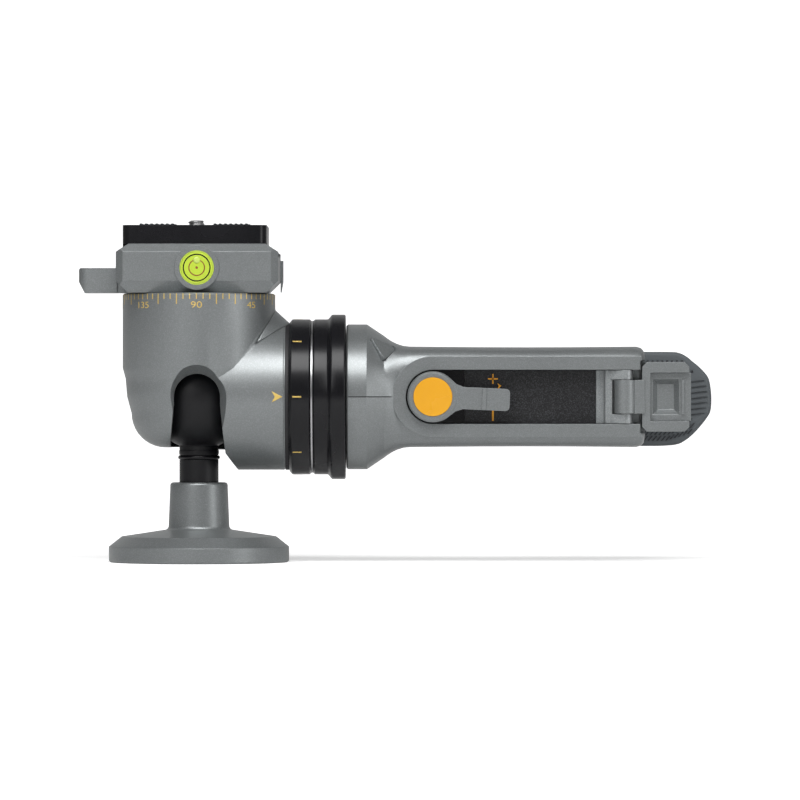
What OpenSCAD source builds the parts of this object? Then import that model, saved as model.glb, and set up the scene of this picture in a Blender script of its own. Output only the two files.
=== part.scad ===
// Pistol-grip ball head for a camera tripod, in millimetres.
// Origin: centre of the base's bottom face, where the tripod's screw enters.
// +X runs along the grip, +Z is up, and -Y is the side with the notch and the level.

/* [Base] */
// Radius of the base disc
base_r = 34.4; // [32:0.1:40]
// Height of the band round the disc
base_band_h = 5.9; // [4:0.1:7]
// Radius where the sloping rim ends
base_slope_r = 29.5; // [26:0.1:31]
// Height of the disc's top at the rim's slope
base_slope_h = 9.8; // [9:0.1:11]
// Height of the collar's top
collar_top_z = 30.4; // [28:0.1:32]
// Radius of the collar at its top
collar_r = 10.95; // [10:0.05:12]
// Radius of the threaded hole for the tripod's 3/8 inch screw
tripod_thread_r = 4.7625; // [4.5:0.0125:5.5]
// Depth of that thread
tripod_thread_h = 11; // [8:0.5:12]

/* [Ball and stem] */
// Height of the ball's centre
ball_z = 63; // [62:0.5:68]
// Radius of the ball
ball_r = 20; // [19:0.1:20.5]
// Radius of the stem
stem_r = 7.45; // [6.8:0.05:7.6]
// Wire radius of the rubber ring on the stem
stem_ring_wire_r = 0.8; // [0.6:0.05:0.9]
// Drop of that ring below the ball's centre
stem_ring_drop = 23.1; // [22.6:0.1:24]

/* [Head] */
// Radius of the upright part of the head
head_r = 29.1; // [28.5:0.1:31]
// Height of the head's top above the ball's centre
head_up = 39.3; // [38:0.1:44]
// Radius of the head at the height of the ball's centre
pod_r = 27.4; // [26.8:0.1:28]
// Radius of the rounded bottom edge
toe_r = 13; // [12:0.1:13.5]
// Radius of the lying barrel towards the grip
barrel_r = 27.8; // [27:0.1:28.2]
// Distance of the barrel's end from the ball's centre
barrel_x = 33.2; // [32:0.1:36]
// Half width of the front notch
notch_half_w = 8.7; // [8.5:0.05:9.2]
// Half width of the notch at the outer surface
notch_rim_half_w = 10.8; // [10:0.1:12]
// Sideways tilt that the flared notch lets the stem make
side_tilt = 6; // [3:0.5:7]
// Radius of the round mouth under the ball
mouth_r = 12.4; // [12:0.1:13]

/* [Ball clutch] */
// Wall of the moulded seats that hold the ball
seat_wall = 3.25; // [2.5:0.05:3.5]
// Half angle of the top seat
cup_angle = 36; // [25:1:38]
// Radius of the brake shoe
shoe_r = 10.5; // [9:0.1:11]
// Length of the brake shoe behind the ball
shoe_len = 7; // [6:0.1:8]
// Radius of the pull rod
rod_r = 3; // [2.4:0.1:3.4]
// Mean radius of the brake spring
brake_spring_r = 6; // [5:0.1:7]
// Wire radius of the brake spring
brake_wire_r = 0.9; // [0.6:0.05:1.1]
// Travel of the pull rod when the grip is squeezed
rod_travel = 1; // [0.8:0.05:1.2]

/* [Turning joint] */
// Radius of the neck on which the grip turns
neck_r = 20; // [19:0.1:21]
// Length of the neck past the barrel
neck_len = 16.8; // [16:0.1:18]
// Stand-out of the index ring past the barrel
index_proud = 1.8; // [1:0.1:3]
// Width of the index ring
index_w = 8.3; // [7:0.1:9]
// Width of the bright spacer ring
spacer_w = 0.8; // [0.5:0.05:1]
// Width of the locking collar
collar_w = 12.3; // [11:0.1:13.5]
// Stand-out of the locking collar's flange past the index ring
flange_proud = 1.8; // [1:0.1:3]
// Radius of the sleeve that carries these rings
hub_r = 26; // [25:0.1:27]

/* [Grip] */
// Radius of the grip's round root
root_r = 27.65; // [27:0.05:28.5]
// Length of the whole grip housing
grip_len = 113.3; // [108:0.1:120]
// Half height of the grip
grip_half_h = 19.2; // [18:0.1:20.5]
// Depth of the grip in front of its axis
grip_front = 21; // [20:0.1:22.5]
// Depth of the grip behind its axis
grip_back = 5; // [4:0.1:6]
// Half height of the long recess in the front
recess_half_h = 10.25; // [9.8:0.05:11]
// Depth of that recess
recess_depth = 7; // [6:0.1:8]
// Half height of the raised rim round the recess
rim_half_h = 15.3; // [14:0.1:16]

/* [Squeeze lever] */
// Angle through which the lever closes
squeeze_angle = 5; // [3:0.5:6]
// Half height of the rubber pad
pad_half_h = 18; // [16:0.1:19]
// Depth of the rubber pad
pad_depth = 16; // [13:0.1:18]
// Length of the rubber pad
pad_len = 101.4; // [90:0.1:106]

/* [Friction lever] */
// Radius of the lever's round end
dial_r = 9.64; // [9:0.02:10]
// Radius of the yellow cap
cap_r = 7.35; // [6:0.05:8]
// Reach of the arm from the dial's centre
arm_reach = 29.1; // [24:0.1:32]
// Half width of the arm
arm_half_w = 4.2; // [3.5:0.1:5]
// Angle at which the arm stands at rest
arm_rest_angle = -2.5; // [-5:0.5:5]

/* [Latch] */
// Length of the latch frame
latch_len = 17.8; // [16:0.1:20]
// Half height of the latch frame
latch_half_h = 13.2; // [12:0.1:14]
// Thickness of the latch frame
latch_t = 8; // [6:0.1:9]

/* [Clamp] */
// Half length of the clamp
clamp_half_l = 30.7; // [29:0.1:34]
// Half depth of the clamp
clamp_half_d = 25; // [24:0.1:27]
// Height of the clamp
clamp_h = 18.5; // [17.5:0.1:20]
// Radius of the round boss that holds the level
level_boss_r = 8.4; // [7.8:0.1:9]
// Radius of the level's vial
level_r = 6; // [5:0.1:6.5]
// Opening travel of the moving jaw
jaw_travel = 2.4; // [1.6:0.1:2.6]
// Number of click stops in a full pan
click_count = 72; // [36:12:72]

/* [Camera plate] */
// Half length of the plate
plate_half_l = 27.3; // [25:0.1:32]
// Place of the plate along the clamp
plate_x = -1; // [-10:0.5:10]
// Half depth of the plate's slab
plate_half_d = 21.5; // [20:0.1:24]
// Thickness of the plate's slab
plate_t = 7; // [5:0.1:8]
// Half width of the dovetail at its foot
dovetail_half_w = 18.9; // [17.5:0.1:19.5]
// Height of the dovetail below the slab
dovetail_h = 4.6; // [4:0.1:5.2]
// Radius of the 1/4 inch camera screw
camera_thread_r = 3.175; // [3:0.025:3.6]
// Height of the camera screw above the plate
camera_thread_h = 2.3; // [2:0.1:7]

/* [Hidden] */

// Facets of round shapes
round_fn = 96;
// Facets of small round shapes
small_fn = 48;
// Overrun of every cut
cut = 1;
// Reach of cuts that leave the part altogether
far = 4 * head_r;
// Gap of a running or threaded fit
fit = 0.05;
// Gap between flat faces that rest on each other
rest_gap = 0.1;
// Gap between faces that move past each other
move_gap = 0.35;
// Break of a sharp edge
edge = 0.6;

// Base: collar, its foot and its fillet, the bush, the stem's tenon and the grub screw
collar_taper = 0.65;
collar_edge = 1.1;
collar_fillet = 1.6;
disc_cone_rise = 2.5;
bush_r = 7;
tenon_r = 6;
tenon_floor = 3.4;
grub_r = 2;
grub_drop = 8;
grub_len = 4.2;
grub_key_h = 1.6;
hex_key_r = 1.1;
relief_r0 = 11;
relief_r1 = 29;
relief_h = 0.8;
collar_foot_r = collar_r + collar_taper;
disc_top_z = base_slope_h + disc_cone_rise;
tenon_z = tripod_thread_h + tenon_floor;

// Stem: lip under the ball and groove of the ring
stem_lip_drop = 20.3;
stem_lip_h = 1.4;
stem_lip = 0.15;
ring_stand_out = 0.55;
ring_mid_r = stem_r + ring_stand_out - stem_ring_wire_r;

// Ball clutch: sphere of the seats' backs and of the hollow in the head
seat_back_r = ball_r + fit + seat_wall;
hollow_r = seat_back_r + fit;
seat_angle = 28;
seat_stub_r = 4;
seat_stub_len = 2.6;
shoe_back_x = ball_r + shoe_len;
shoe_bore_end = shoe_back_x + rod_travel + 2 * move_gap;
spring_room_r = brake_spring_r + brake_wire_r + 2 * move_gap;
plug_len = 4;
plug_wall = 2;
rod_thread_len = 4.5;
brake_spring_turns = 6;

// Head outline: drop and reach of the toe's arc, waist under the upright part
toe_drop = 6.3;
toe_in = 1.7;
waist_drop = 7;
waist_in = 1.1;
waist_rise = 4;
chin_x = 9.8;
chin_up = 20.2;
chin_low_x = 15.1;
notch_rim_depth = 3.5;
notch_front = 23.5;
shade_w = 1.4;
shade_in = 0.2;
shade_r = barrel_r - shade_in;
index_r = barrel_r + index_proud;
flange_r = index_r + flange_proud;

// Neck: end tail for the nut
neck_tail_r = 15;
neck_tail_len = 4;
nut_r = 22.5;
hub_nut_r = nut_r + 2 * move_gap;
hub_spigot_r = 24;
ring_x0 = barrel_x + shade_w;
spacer_x0 = ring_x0 + index_w;
collar_x0 = spacer_x0 + spacer_w;
collar_x1 = collar_x0 + collar_w;
root_x = collar_x1 + 3 * rest_gap;
neck_x = barrel_x + neck_len;
tail_x = neck_x + neck_tail_len;
collar_ogee_w = 2.1;
collar_flange_w = 4.9;

// Grip housing: stations along its length, as distances from its root
root_w = 7.8;
cone_w = 6.5;
cone_r = 23.3;
blend_w = 10;
end_x = root_x + grip_len;
end_round = 3;
back_taper_w = 22;
spigot_len = root_w - 2 * edge;
works_half_h = 8.5;
works_front = 13;
works_len = 41.5;
works_x1 = root_x + works_len;
half_steps = 24;

// Dial, recess and the panels in it
dial_in = 32.8;
dial_x = root_x + dial_in;
dial_h = 9;
cap_sink = 0.8;
cap_proud = 0.15;
spindle_r = 2.5;
spindle_len = 5.6;
arm_t = 3.4;
arm_tip_r = 1.6;
arm_ridge_x = 18.6;
arm_ridge_w = 1.6;
arm_ridge_h = 0.5;
arm_neck_x = 11.5;
panel_t = 1.2;
bed_past_dial = 12.2;
bracket_room = 18.7;
bed_x1 = dial_x + bed_past_dial;
panel_x1 = end_x - bracket_room;

// Latch and its bracket
latch_pin_in = 7.6;
latch_pin_deep = 2.4;
latch_pin_x = end_x - latch_pin_in;
latch_pin_y = -grip_front + latch_pin_deep;
pin_r = 1.5;
knuckle_r = 4.2;
knuckle_half_h = 6.35;
bracket_step_w = 6;
bracket_arm_t = 3.4;
latch_in = 1.3;
latch_x0 = end_x - latch_in;
latch_corner = 1.8;
latch_lift = 1.6;
latch_y0 = latch_pin_y - latch_lift;
tray_x = 3.1;
tray_half_h = 9.1;
tray_len = 15.4;
tray_sink = 2.2;
well_x = 2.8;
well_len = 6.2;
well_half_h = 4.8;
well_slope = 1.9;
tray_ridge_x = 11.8;
tray_ridge_w = 1;
tray_ridge_half_h = 6.6;
tray_ridge_h = 0.9;

// Squeeze lever, in its closed stand parallel to the grip
trigger_pivot_in = 20.7;
pivot_x = root_x + trigger_pivot_in;
pivot_y = -8;
trigger_pin_r = 2;
trigger_pin_half = 12.5;
lever_root_half_h = 7.5;
lever_root_r = 4.4;
lever_root_len = 5;
lever_root_x1 = pivot_x + lever_root_len;
lever_nose_y = 3;
lever_nose = 1.5;
lever_gap = 0.5;
rod_hole_gap = 1.2;
pad_in = 41.7;
lever_bar_y0 = grip_back + lever_gap;
lever_bar_t = 8.5;
lever_bar_half_h = 8;
lever_rod_hole_r = rod_r + rod_hole_gap;
pad_x0 = root_x + pad_in;
pad_gap = 0.3;
pad_round = 4;
pad_end_flat = 14;
pad_drop = 0.8;
pad_edge = 1.4;
pad_soft = 6.5;
washer_t = 1.6;
washer_r = 7.5;
nose_reach = lever_root_x1 - pivot_x;
nose_arm = lever_nose_y - pivot_y;
washer_x = pivot_x + nose_reach * cos(squeeze_angle) - nose_arm * sin(squeeze_angle) + move_gap;
rod_nut_r = 4.4;
rod_nut_len = 4;
rod_end_x = washer_x + washer_t + rod_nut_len + 2 * rest_gap + edge;

// Button on the shoulder: where it stands, its outline and its well
button_turn = 41.4;
button_slope = atan((root_r - cone_r) / cone_w);
button_x = root_x + root_w + 0.85 * cone_w;
button_axis_r = 23.9;
button_corners_share = [[-0.42, 0.26, 0.08], [0.34, 0.22, 0.2], [0.08, -0.44, 0.09]];
button_long = 10;
button_h = 3.6;
button_proud = 0.9;
button_well = 7;
button_gap = 0.15;
button_spring_r = 1.7;
button_wire_r = 0.3;

// Shell screws
screw_places_share = [0.44, 0.69, 0.915];
screw_y = -4;
screw_head_r = 2.8;
screw_head_len = 2.4;
screw_r = 1.5;
screw_sink = 9;
screw_reach = 10;
screw_gap = 0.2;

// Clamp: heights over the head's top, slopes of its body
pan_z = ball_z + head_up;
clamp_z = pan_z + rest_gap;
clamp_low_slope = 4.5;
clamp_top_slope = 3.1;
clamp_low_in = 3;
clamp_end_in = 4.8;
clamp_corner = 2.7;
pan_bolt_r = 5;
pan_bolt_head_r = 7.5;
pan_bolt_head_len = 3.4;
pan_washer_t = 0.9;
pan_bolt_grip = 9.4;
pan_shoulder_t = 10.9;
click_ring_r = 17;
click_ring_hole_r = 9;
click_ring_t = 2.2;
click_notch = 0.35;
click_ball_r = 1.3;
level_h = 5.2;
level_proud = 0.6;
level_rim = 0.5;
lens_t = 1;
channel_drop = dovetail_h + 2 * rest_gap;
dovetail_flat = 0.8;
dovetail_in = 2.3;
jaw_y0 = 12.6;
jaw_low = 4.7;
jaw_end = 1.1;
jaw_end_low = 0.7;
jaw_end_high = 12.9;
pin_place_share = [0.39, 0.85];
guide_pin_r = 2;
guide_pin_y0 = 2;
guide_pin_len = 18;

// Clamp lever: pivot, eccentric, ear
pivot_in = 5.7;
lever_pivot_x = -clamp_half_l + pivot_in;
lever_pivot_y = -3;
lever_swing = 35;
cam_off = jaw_travel / 2 / sin(lever_swing / 2);
cam_r = 4.6;
cam_gap = 0.3;
cam_z = 4.2;
cam_t = 4;
hub_disc_r = 5.3;
arm_plate_t = 4;
ear_w = 14.7;
ear_half_w = 5.4;
ear_h = 9.6;
ear_slope_w = 2.4;
ear_slope_h = 4.5;
lever_pin_r = 2;
lever_pin_len = 10.5;
fork_half = cam_r + cam_gap;
fork_wall = 3.6;

// Camera plate: screw, clip, pads
plate_corner = 4;
screw_flange_r = 8;
screw_flange_t = 2.6;
screw_neck_r = 2.4;
clip_r = 5;
clip_t = 0.6;
clip_sink = 1;
pad_sink = 0.4;
pad_proud = 0.4;
rib_h = 0.3;
rib_pitch = 2;
rib_count = 7;
pad_strip_x = 7;
pad_strip_half_d = 16.5;

// Points of an arc about [u, v], from angle a0 to a1
function arc(u, v, r, a0, a1, n = 8) =
    [for (i = [0:n]) [u + r * cos(a0 + (a1 - a0) * i / n), v + r * sin(a0 + (a1 - a0) * i / n)]];

// Outline of a ring's section, its outer corners broken by c
function ring_section(r0, r1, a0, a1, c = 0) = c == 0
    ? [[r0, a0], [r1, a0], [r1, a1], [r0, a1]]
    : [[r0, a0], [r1 - c, a0], [r1, a0 + c], [r1, a1 - c], [r1 - c, a1], [r0, a1]];

// Outline with cut corners
function cut_box(x0, y0, x1, y1, c) = [[x0 + c, y0], [x1 - c, y0], [x1, y0 + c], [x1, y1 - c],
    [x1 - c, y1], [x0 + c, y1], [x0, y1 - c], [x0, y0 + c]];

// A body turned about the upright axis from points [radius, height]
module upright(points, fn = round_fn) rotate_extrude($fn = fn) polygon(points);

// A body turned about the grip's axis from points [radius, distance along +X]
module lying(points, fn = round_fn) translate([0, 0, ball_z]) rotate([0, 90, 0]) upright(points, fn);

// A solid round bar along +X on the grip's axis
module bar_x(r, x0, x1, fn = round_fn) lying(ring_section(0, r, x0, x1), fn);

// A round bar along +Y, standing at [x, z] over the ball's centre
module bar_y(r, x, z, y0, y1, fn = small_fn)
    translate([x, y0, ball_z + z]) rotate([-90, 0, 0]) cylinder(r = r, h = y1 - y0, $fn = fn);

// A round bar along +Z, standing at [x, y]
module bar_z(r, x, y, z0, z1, fn = small_fn) translate([x, y, z0]) cylinder(r = r, h = z1 - z0, $fn = fn);

// A flat outline in X and Z (from the ball's height), filled from y0 to y1
module face_y(points, y0, y1)
    translate([0, y1, ball_z]) rotate([90, 0, 0]) linear_extrude(y1 - y0) polygon(points);

// A flat outline in X and Y, filled from z0 to z1
module face_z(points, z0, z1) translate([0, 0, z0]) linear_extrude(z1 - z0) polygon(points);

// A flat outline in Y and Z, filled from x0 to x1
module face_x(points, x0, x1)
    translate([x0, 0, 0]) rotate([90, 0, 90]) linear_extrude(x1 - x0) polygon(points);

// A box from corner to corner, its heights taken from the ball's centre
module block(low, high) translate([low.x, low.y, ball_z + low.z]) cube(high - low);

// A closed skin over rings of points, all rings with as many points, capped at both ends
module skin(rings) {
    n = len(rings[0]);
    last = len(rings) - 1;
    sides = [for (j = [0:last - 1], i = [0:n - 1])
        let (a = j * n + i, b = j * n + (i + 1) % n) each [[a, b + n, b], [a, a + n, b + n]]];
    polyhedron(points = [for (r = rings) each r],
        faces = concat([[for (i = [0:n - 1]) i]], sides, [[for (i = [n - 1:-1:0]) last * n + i]]));
}

// A coil spring along +Z from the origin: one unbroken wire of six sides
module coil(r, wire_r, h, turns) {
    steps = 8 * turns;
    rise = h - 2 * wire_r;
    rings = [for (k = [steps:-1:0]) let (a = 360 * k / 8, z = wire_r + rise * k / steps)
        [for (i = [0:5]) let (q = r + wire_r * cos(60 * i)) [q * cos(a), q * sin(a),
            z + wire_r * sin(60 * i)]]];
    skin(rings);
}

module base_plate() color("slategray") difference() {
    upright(concat([[0, 0], [base_r - edge, 0], [base_r, edge], [base_r, base_band_h],
        [base_slope_r, base_slope_h]],
        arc(collar_foot_r + collar_fillet, disc_top_z + collar_fillet, collar_fillet, 270, 180, 6),
        arc(collar_r - collar_edge, collar_top_z - collar_edge, collar_edge, 0, 90, 6),
        [[0, collar_top_z]]));
    upright(ring_section(0, bush_r + fit, -cut, tripod_thread_h));
    upright(ring_section(0, tenon_r + fit, tenon_z, collar_top_z + cut));
    upright(ring_section(relief_r0, relief_r1, -cut, relief_h));
    translate([0, 0, collar_top_z - grub_drop]) rotate([-90, 0, 0])
        cylinder(r = grub_r + fit, h = base_r, $fn = small_fn);
}

module tripod_thread_bush() color("goldenrod")
    upright(ring_section(tripod_thread_r, bush_r, 0, tripod_thread_h));

module ball_stem() color("dimgray") {
    ring_z = ball_z - stem_ring_drop;
    groove = stem_ring_wire_r + fit;
    lip_z = ball_z - stem_lip_drop;
    union() {
        upright([[0, tenon_z + rest_gap], [tenon_r, tenon_z + rest_gap], [tenon_r, collar_top_z],
            [stem_r, collar_top_z], [stem_r, ring_z - groove], [ring_mid_r - groove, ring_z - groove],
            [ring_mid_r - groove, ring_z + groove], [stem_r, ring_z + groove],
            [stem_r, lip_z - stem_lip_h - stem_lip], [stem_r + stem_lip, lip_z - stem_lip_h],
            [stem_r + stem_lip, lip_z - stem_lip], [stem_r, lip_z],
            [stem_r, ball_z - ball_r / 2], [0, ball_z - ball_r / 2]]);
        translate([0, 0, ball_z]) sphere(r = ball_r, $fn = round_fn);
    }
}

module stem_grub_screw() color("silver") translate([0, tenon_r + rest_gap, collar_top_z - grub_drop])
    rotate([-90, 0, 0]) difference() {
        cylinder(r = grub_r, h = grub_len, $fn = small_fn);
        translate([0, 0, grub_len - grub_key_h]) cylinder(r = hex_key_r, h = grub_key_h + cut, $fn = 6);
    }

module stem_ring() color("black") translate([0, 0, ball_z - stem_ring_drop])
    rotate_extrude($fn = round_fn) translate([ring_mid_r, 0]) circle(r = stem_ring_wire_r, $fn = small_fn);

// A piece of the spherical seat within a cone about +Z, its tip in the ball's centre
module seat(angle) intersection() {
    difference() {
        sphere(r = seat_back_r, $fn = round_fn);
        sphere(r = ball_r + fit, $fn = round_fn);
    }
    cylinder(r1 = 0, r2 = far * tan(angle), h = far, $fn = round_fn);
}

module ball_cup() color("ivory") translate([0, 0, ball_z]) seat(cup_angle);

module side_seat() color("ivory")
    translate([0, 0, ball_z]) rotate([0, -90, 0]) union() {
    seat(seat_angle);
    translate([0, 0, ball_r + seat_wall / 2])
        cylinder(r = seat_stub_r, h = seat_wall / 2 + seat_stub_len, $fn = small_fn);
}

// Outline of the notch seen from the front, below its round head: straight sides and a flare to the mouth
function notch_outline() =
    let (clear = (stem_r + ring_stand_out + move_gap) / cos(side_tilt), slope = tan(side_tilt),
        flare = max(0, (notch_half_w - clear) / slope), low = barrel_r + cut,
        low_w = clear + low * slope)
    [[-notch_half_w, 0], [notch_half_w, 0], [notch_half_w, -flare], [low_w, -low], [-low_w, -low],
        [-notch_half_w, -flare]];

module head_housing() color("slategray") {
    chin_run = chin_low_x - chin_x;
    chin_fall = barrel_r - chin_up;
    rim_slope = (notch_rim_half_w - notch_half_w) / notch_rim_depth;
    rim_len = 2 * notch_rim_depth;
    rim_w = notch_half_w + rim_slope * rim_len;
    rim_y = -notch_front + notch_rim_depth / 2;
    rim_low_w = notch_half_w - rim_slope * notch_rim_depth / 2;
    shoulder = head_up - pan_shoulder_t;
    difference() {
        union() {
            translate([0, 0, ball_z]) upright(concat(
                [[0, head_up], [head_r - edge, head_up], [head_r, head_up - edge],
                [head_r, waist_drop + waist_rise], [head_r - waist_in, waist_drop], [pod_r, 0]],
                arc(pod_r - toe_in - toe_r, -toe_drop, toe_r, 0, -90, 10), [[0, -toe_drop - toe_r]]));
            difference() {
                lying(ring_section(0, barrel_r, 0, barrel_x, edge));
                face_y([[-far, -chin_up], [chin_x, -chin_up],
                    [chin_low_x + chin_run * cut / chin_fall, -barrel_r - cut], [-far, -barrel_r - cut]],
                    -far, far);
            }
            bar_x(shade_r, barrel_x - edge, ring_x0);
            bar_x(neck_r, barrel_x, neck_x);
            bar_x(neck_tail_r, barrel_x, tail_x);
        }
        translate([0, 0, ball_z]) sphere(r = hollow_r, $fn = round_fn);
        bar_z(mouth_r, 0, 0, 0, ball_z, round_fn);
        bar_y(notch_half_w, 0, 0, -far, 0, round_fn);
        face_y(notch_outline(), -far, 0);
        translate([0, rim_y, ball_z]) rotate([90, 0, 0])
            cylinder(r1 = rim_low_w, r2 = rim_w, h = rim_len + notch_rim_depth / 2, $fn = round_fn);
        face_z([[-rim_low_w, rim_y], [rim_low_w, rim_y],
            [rim_w, -notch_front - rim_len], [-rim_w, -notch_front - rim_len]], 0, ball_z);
        bar_x(shoe_r + fit, ball_r / 2, shoe_bore_end);
        bar_x(spring_room_r, ball_r, tail_x);
        bar_x(spring_room_r + plug_wall + fit, tail_x - plug_len, tail_x + cut);
        bar_x(seat_stub_r + fit, -hollow_r - seat_stub_len, -ball_r / 2, small_fn);
        bar_z(pan_bolt_head_r + 2 * move_gap, 0, 0, ball_z + ball_r / 2, ball_z + shoulder);
        bar_z(pan_bolt_r + fit, 0, 0, ball_z + ball_r, pan_z + cut);
    }
}

module spring_plug() color("silver")
    lying(ring_section(rod_r + fit, spring_room_r + plug_wall, tail_x - plug_len, tail_x));

module neck_nut() color("silver") lying(ring_section(neck_tail_r + fit, nut_r, neck_x, tail_x, edge));

module brake_spring() color("gainsboro") translate([shoe_back_x + rest_gap, 0, ball_z]) rotate([0, 90, 0])
    coil(brake_spring_r, brake_wire_r, tail_x - plug_len - shoe_back_x - 2 * rest_gap, brake_spring_turns);

// The notched ring of the pan's click stops
module click_ring() color("silver") difference() {
    face_z([for (i = [0:4 * click_count - 1]) let (a = 90 * i / click_count,
        r = click_ring_r - (i % 4 == 0 ? click_notch : 0)) [r * cos(a), r * sin(a)]],
        pan_z, pan_z + click_ring_t);
    bar_z(click_ring_hole_r, 0, 0, pan_z - cut, pan_z + click_ring_t + cut);
}

module brake_shoe() color("ivory") difference() {
    lying(ring_section(0, shoe_r, ball_r / 2, shoe_back_x, edge));
    translate([0, 0, ball_z]) sphere(r = ball_r + fit, $fn = round_fn);
    bar_x(rod_r + fit, shoe_back_x - rod_thread_len, shoe_back_x + cut);
}

module pull_rod() color("silver") bar_x(rod_r, shoe_back_x - rod_thread_len + rest_gap, rod_end_x, small_fn);

module rod_washer() color("silver")
    lying(ring_section(rod_r + fit, washer_r, washer_x, washer_x + washer_t), small_fn);

module rod_nut() color("silver") difference() {
    translate([washer_x + washer_t + rest_gap, 0, ball_z]) rotate([0, 90, 0])
        cylinder(r = rod_nut_r, h = rod_nut_len, $fn = 6);
    bar_x(rod_r + fit, washer_x, washer_x + 2 * rod_nut_len, small_fn);
}

// Section of the clamp in Y and Z: the front jaw's lip, the dovetail channel and the floor
function clamp_section() =
    let (floor_z = clamp_h - channel_drop, foot = dovetail_half_w + rest_gap, neck = foot - dovetail_in,
        flat_z = floor_z + channel_drop - dovetail_h + dovetail_flat)
    [[-clamp_half_d + clamp_low_in, 0], [-clamp_half_d, clamp_low_slope],
        [-clamp_half_d, clamp_h - clamp_top_slope], [-clamp_half_d + clamp_low_in, clamp_h],
        [-neck, clamp_h], [-neck, flat_z + dovetail_in], [-foot, flat_z], [-foot, floor_z],
        [jaw_y0 - rest_gap, floor_z], [jaw_y0 - rest_gap, jaw_low - rest_gap],
        [clamp_half_d - rest_gap, jaw_low - rest_gap], [clamp_half_d - clamp_low_in, 0]];

function jaw_section() =
    let (floor_z = clamp_h - channel_drop, foot = dovetail_half_w + rest_gap, neck = foot - dovetail_in,
        flat_z = floor_z + channel_drop - dovetail_h + dovetail_flat)
    [[jaw_y0, jaw_low], [clamp_half_d, jaw_low], [clamp_half_d, clamp_h - clamp_top_slope],
        [clamp_half_d - clamp_low_in, clamp_h], [neck, clamp_h], [neck, flat_z + dovetail_in],
        [foot, flat_z], [foot, floor_z], [jaw_y0, floor_z]];

// The bevelled envelope of the clamp, seen from the front and from above
module clamp_envelope() intersection() {
    translate([0, clamp_half_d + cut, 0]) rotate([90, 0, 0]) linear_extrude(2 * (clamp_half_d + cut))
        polygon([[-clamp_half_l + clamp_low_slope, 0], [clamp_half_l - clamp_low_slope, 0],
            [clamp_half_l, clamp_low_slope], [clamp_half_l, clamp_h - clamp_top_slope],
            [clamp_half_l - clamp_end_in, clamp_h], [-clamp_half_l + clamp_end_in, clamp_h],
            [-clamp_half_l, clamp_h - clamp_top_slope], [-clamp_half_l, clamp_low_slope]]);
    linear_extrude(clamp_h)
        polygon(cut_box(-clamp_half_l, -clamp_half_d, clamp_half_l, clamp_half_d, clamp_corner));
}

module at_clamp() translate([0, 0, clamp_z]) children();

cam_x = lever_pivot_x + cam_off * cos(lever_swing / 2);
cam_y = lever_pivot_y - cam_off * sin(lever_swing / 2);
ear_x0 = -clamp_half_l - 2 * rest_gap;
ear_tip_x = ear_x0 - ear_w;
level_z = clamp_h / 2 + rest_gap;

module clamp_body() color("slategray") at_clamp() difference() {
    union() {
        intersection() {
            clamp_envelope();
            face_x(clamp_section(), -clamp_half_l - cut, clamp_half_l + cut);
        }
        translate([0, -clamp_half_d - level_proud, level_z]) rotate([-90, 0, 0])
            cylinder(r = level_boss_r, h = level_h + level_proud, $fn = round_fn);
    }
    bar_z(click_ring_r + 2 * move_gap, 0, 0, -cut, click_ring_t + move_gap);
    bar_z(pan_bolt_r + fit, 0, 0, -cut, pan_bolt_grip + rest_gap);
    translate([0, click_ring_r, click_ball_r]) rotate([-90, 0, 0])
        cylinder(r = click_ball_r + fit, h = 2 * click_ball_r + fit + rest_gap, $fn = small_fn);
    translate([0, -clamp_half_d - level_proud - cut, level_z]) rotate([-90, 0, 0])
        cylinder(r = level_r + level_rim + fit, h = level_h + level_proud + cut, $fn = round_fn);
    bar_z(hub_disc_r + 3 * move_gap, lever_pivot_x, lever_pivot_y, -cut, cam_z + rest_gap);
    bar_z(lever_pin_r + fit, lever_pivot_x, lever_pivot_y, 0, lever_pin_len + rest_gap);
    translate([-far, lever_pivot_y - ear_w, -cut])
        cube([far + lever_pivot_x - lever_pin_r + 2 * move_gap, ear_w + hub_disc_r + arm_plate_t,
            ear_h + cut + move_gap]);
    translate([lever_pivot_x - lever_pin_r, cam_y - fork_half - fork_wall - move_gap, cam_z - move_gap])
        cube([cam_x + fork_half + fork_wall + move_gap - lever_pivot_x + lever_pin_r, far,
            cam_t + 3 * move_gap]);
    guide_pins(fit, guide_pin_y0);
}

// The two pins that guide the moving jaw
module guide_pins(gap = 0, y0 = guide_pin_y0) for (share = pin_place_share)
    translate([share * clamp_half_l, y0, level_z - 1.5 * guide_pin_r]) rotate([-90, 0, 0])
        cylinder(r = guide_pin_r + gap, h = guide_pin_len + (gap > 0 ? rest_gap : 0), $fn = small_fn);

module jaw_guide_pins() color("silver") at_clamp() guide_pins();

module lever_pivot_pin() color("silver") at_clamp()
    bar_z(lever_pin_r, lever_pivot_x, lever_pivot_y, edge, lever_pin_len);

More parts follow.
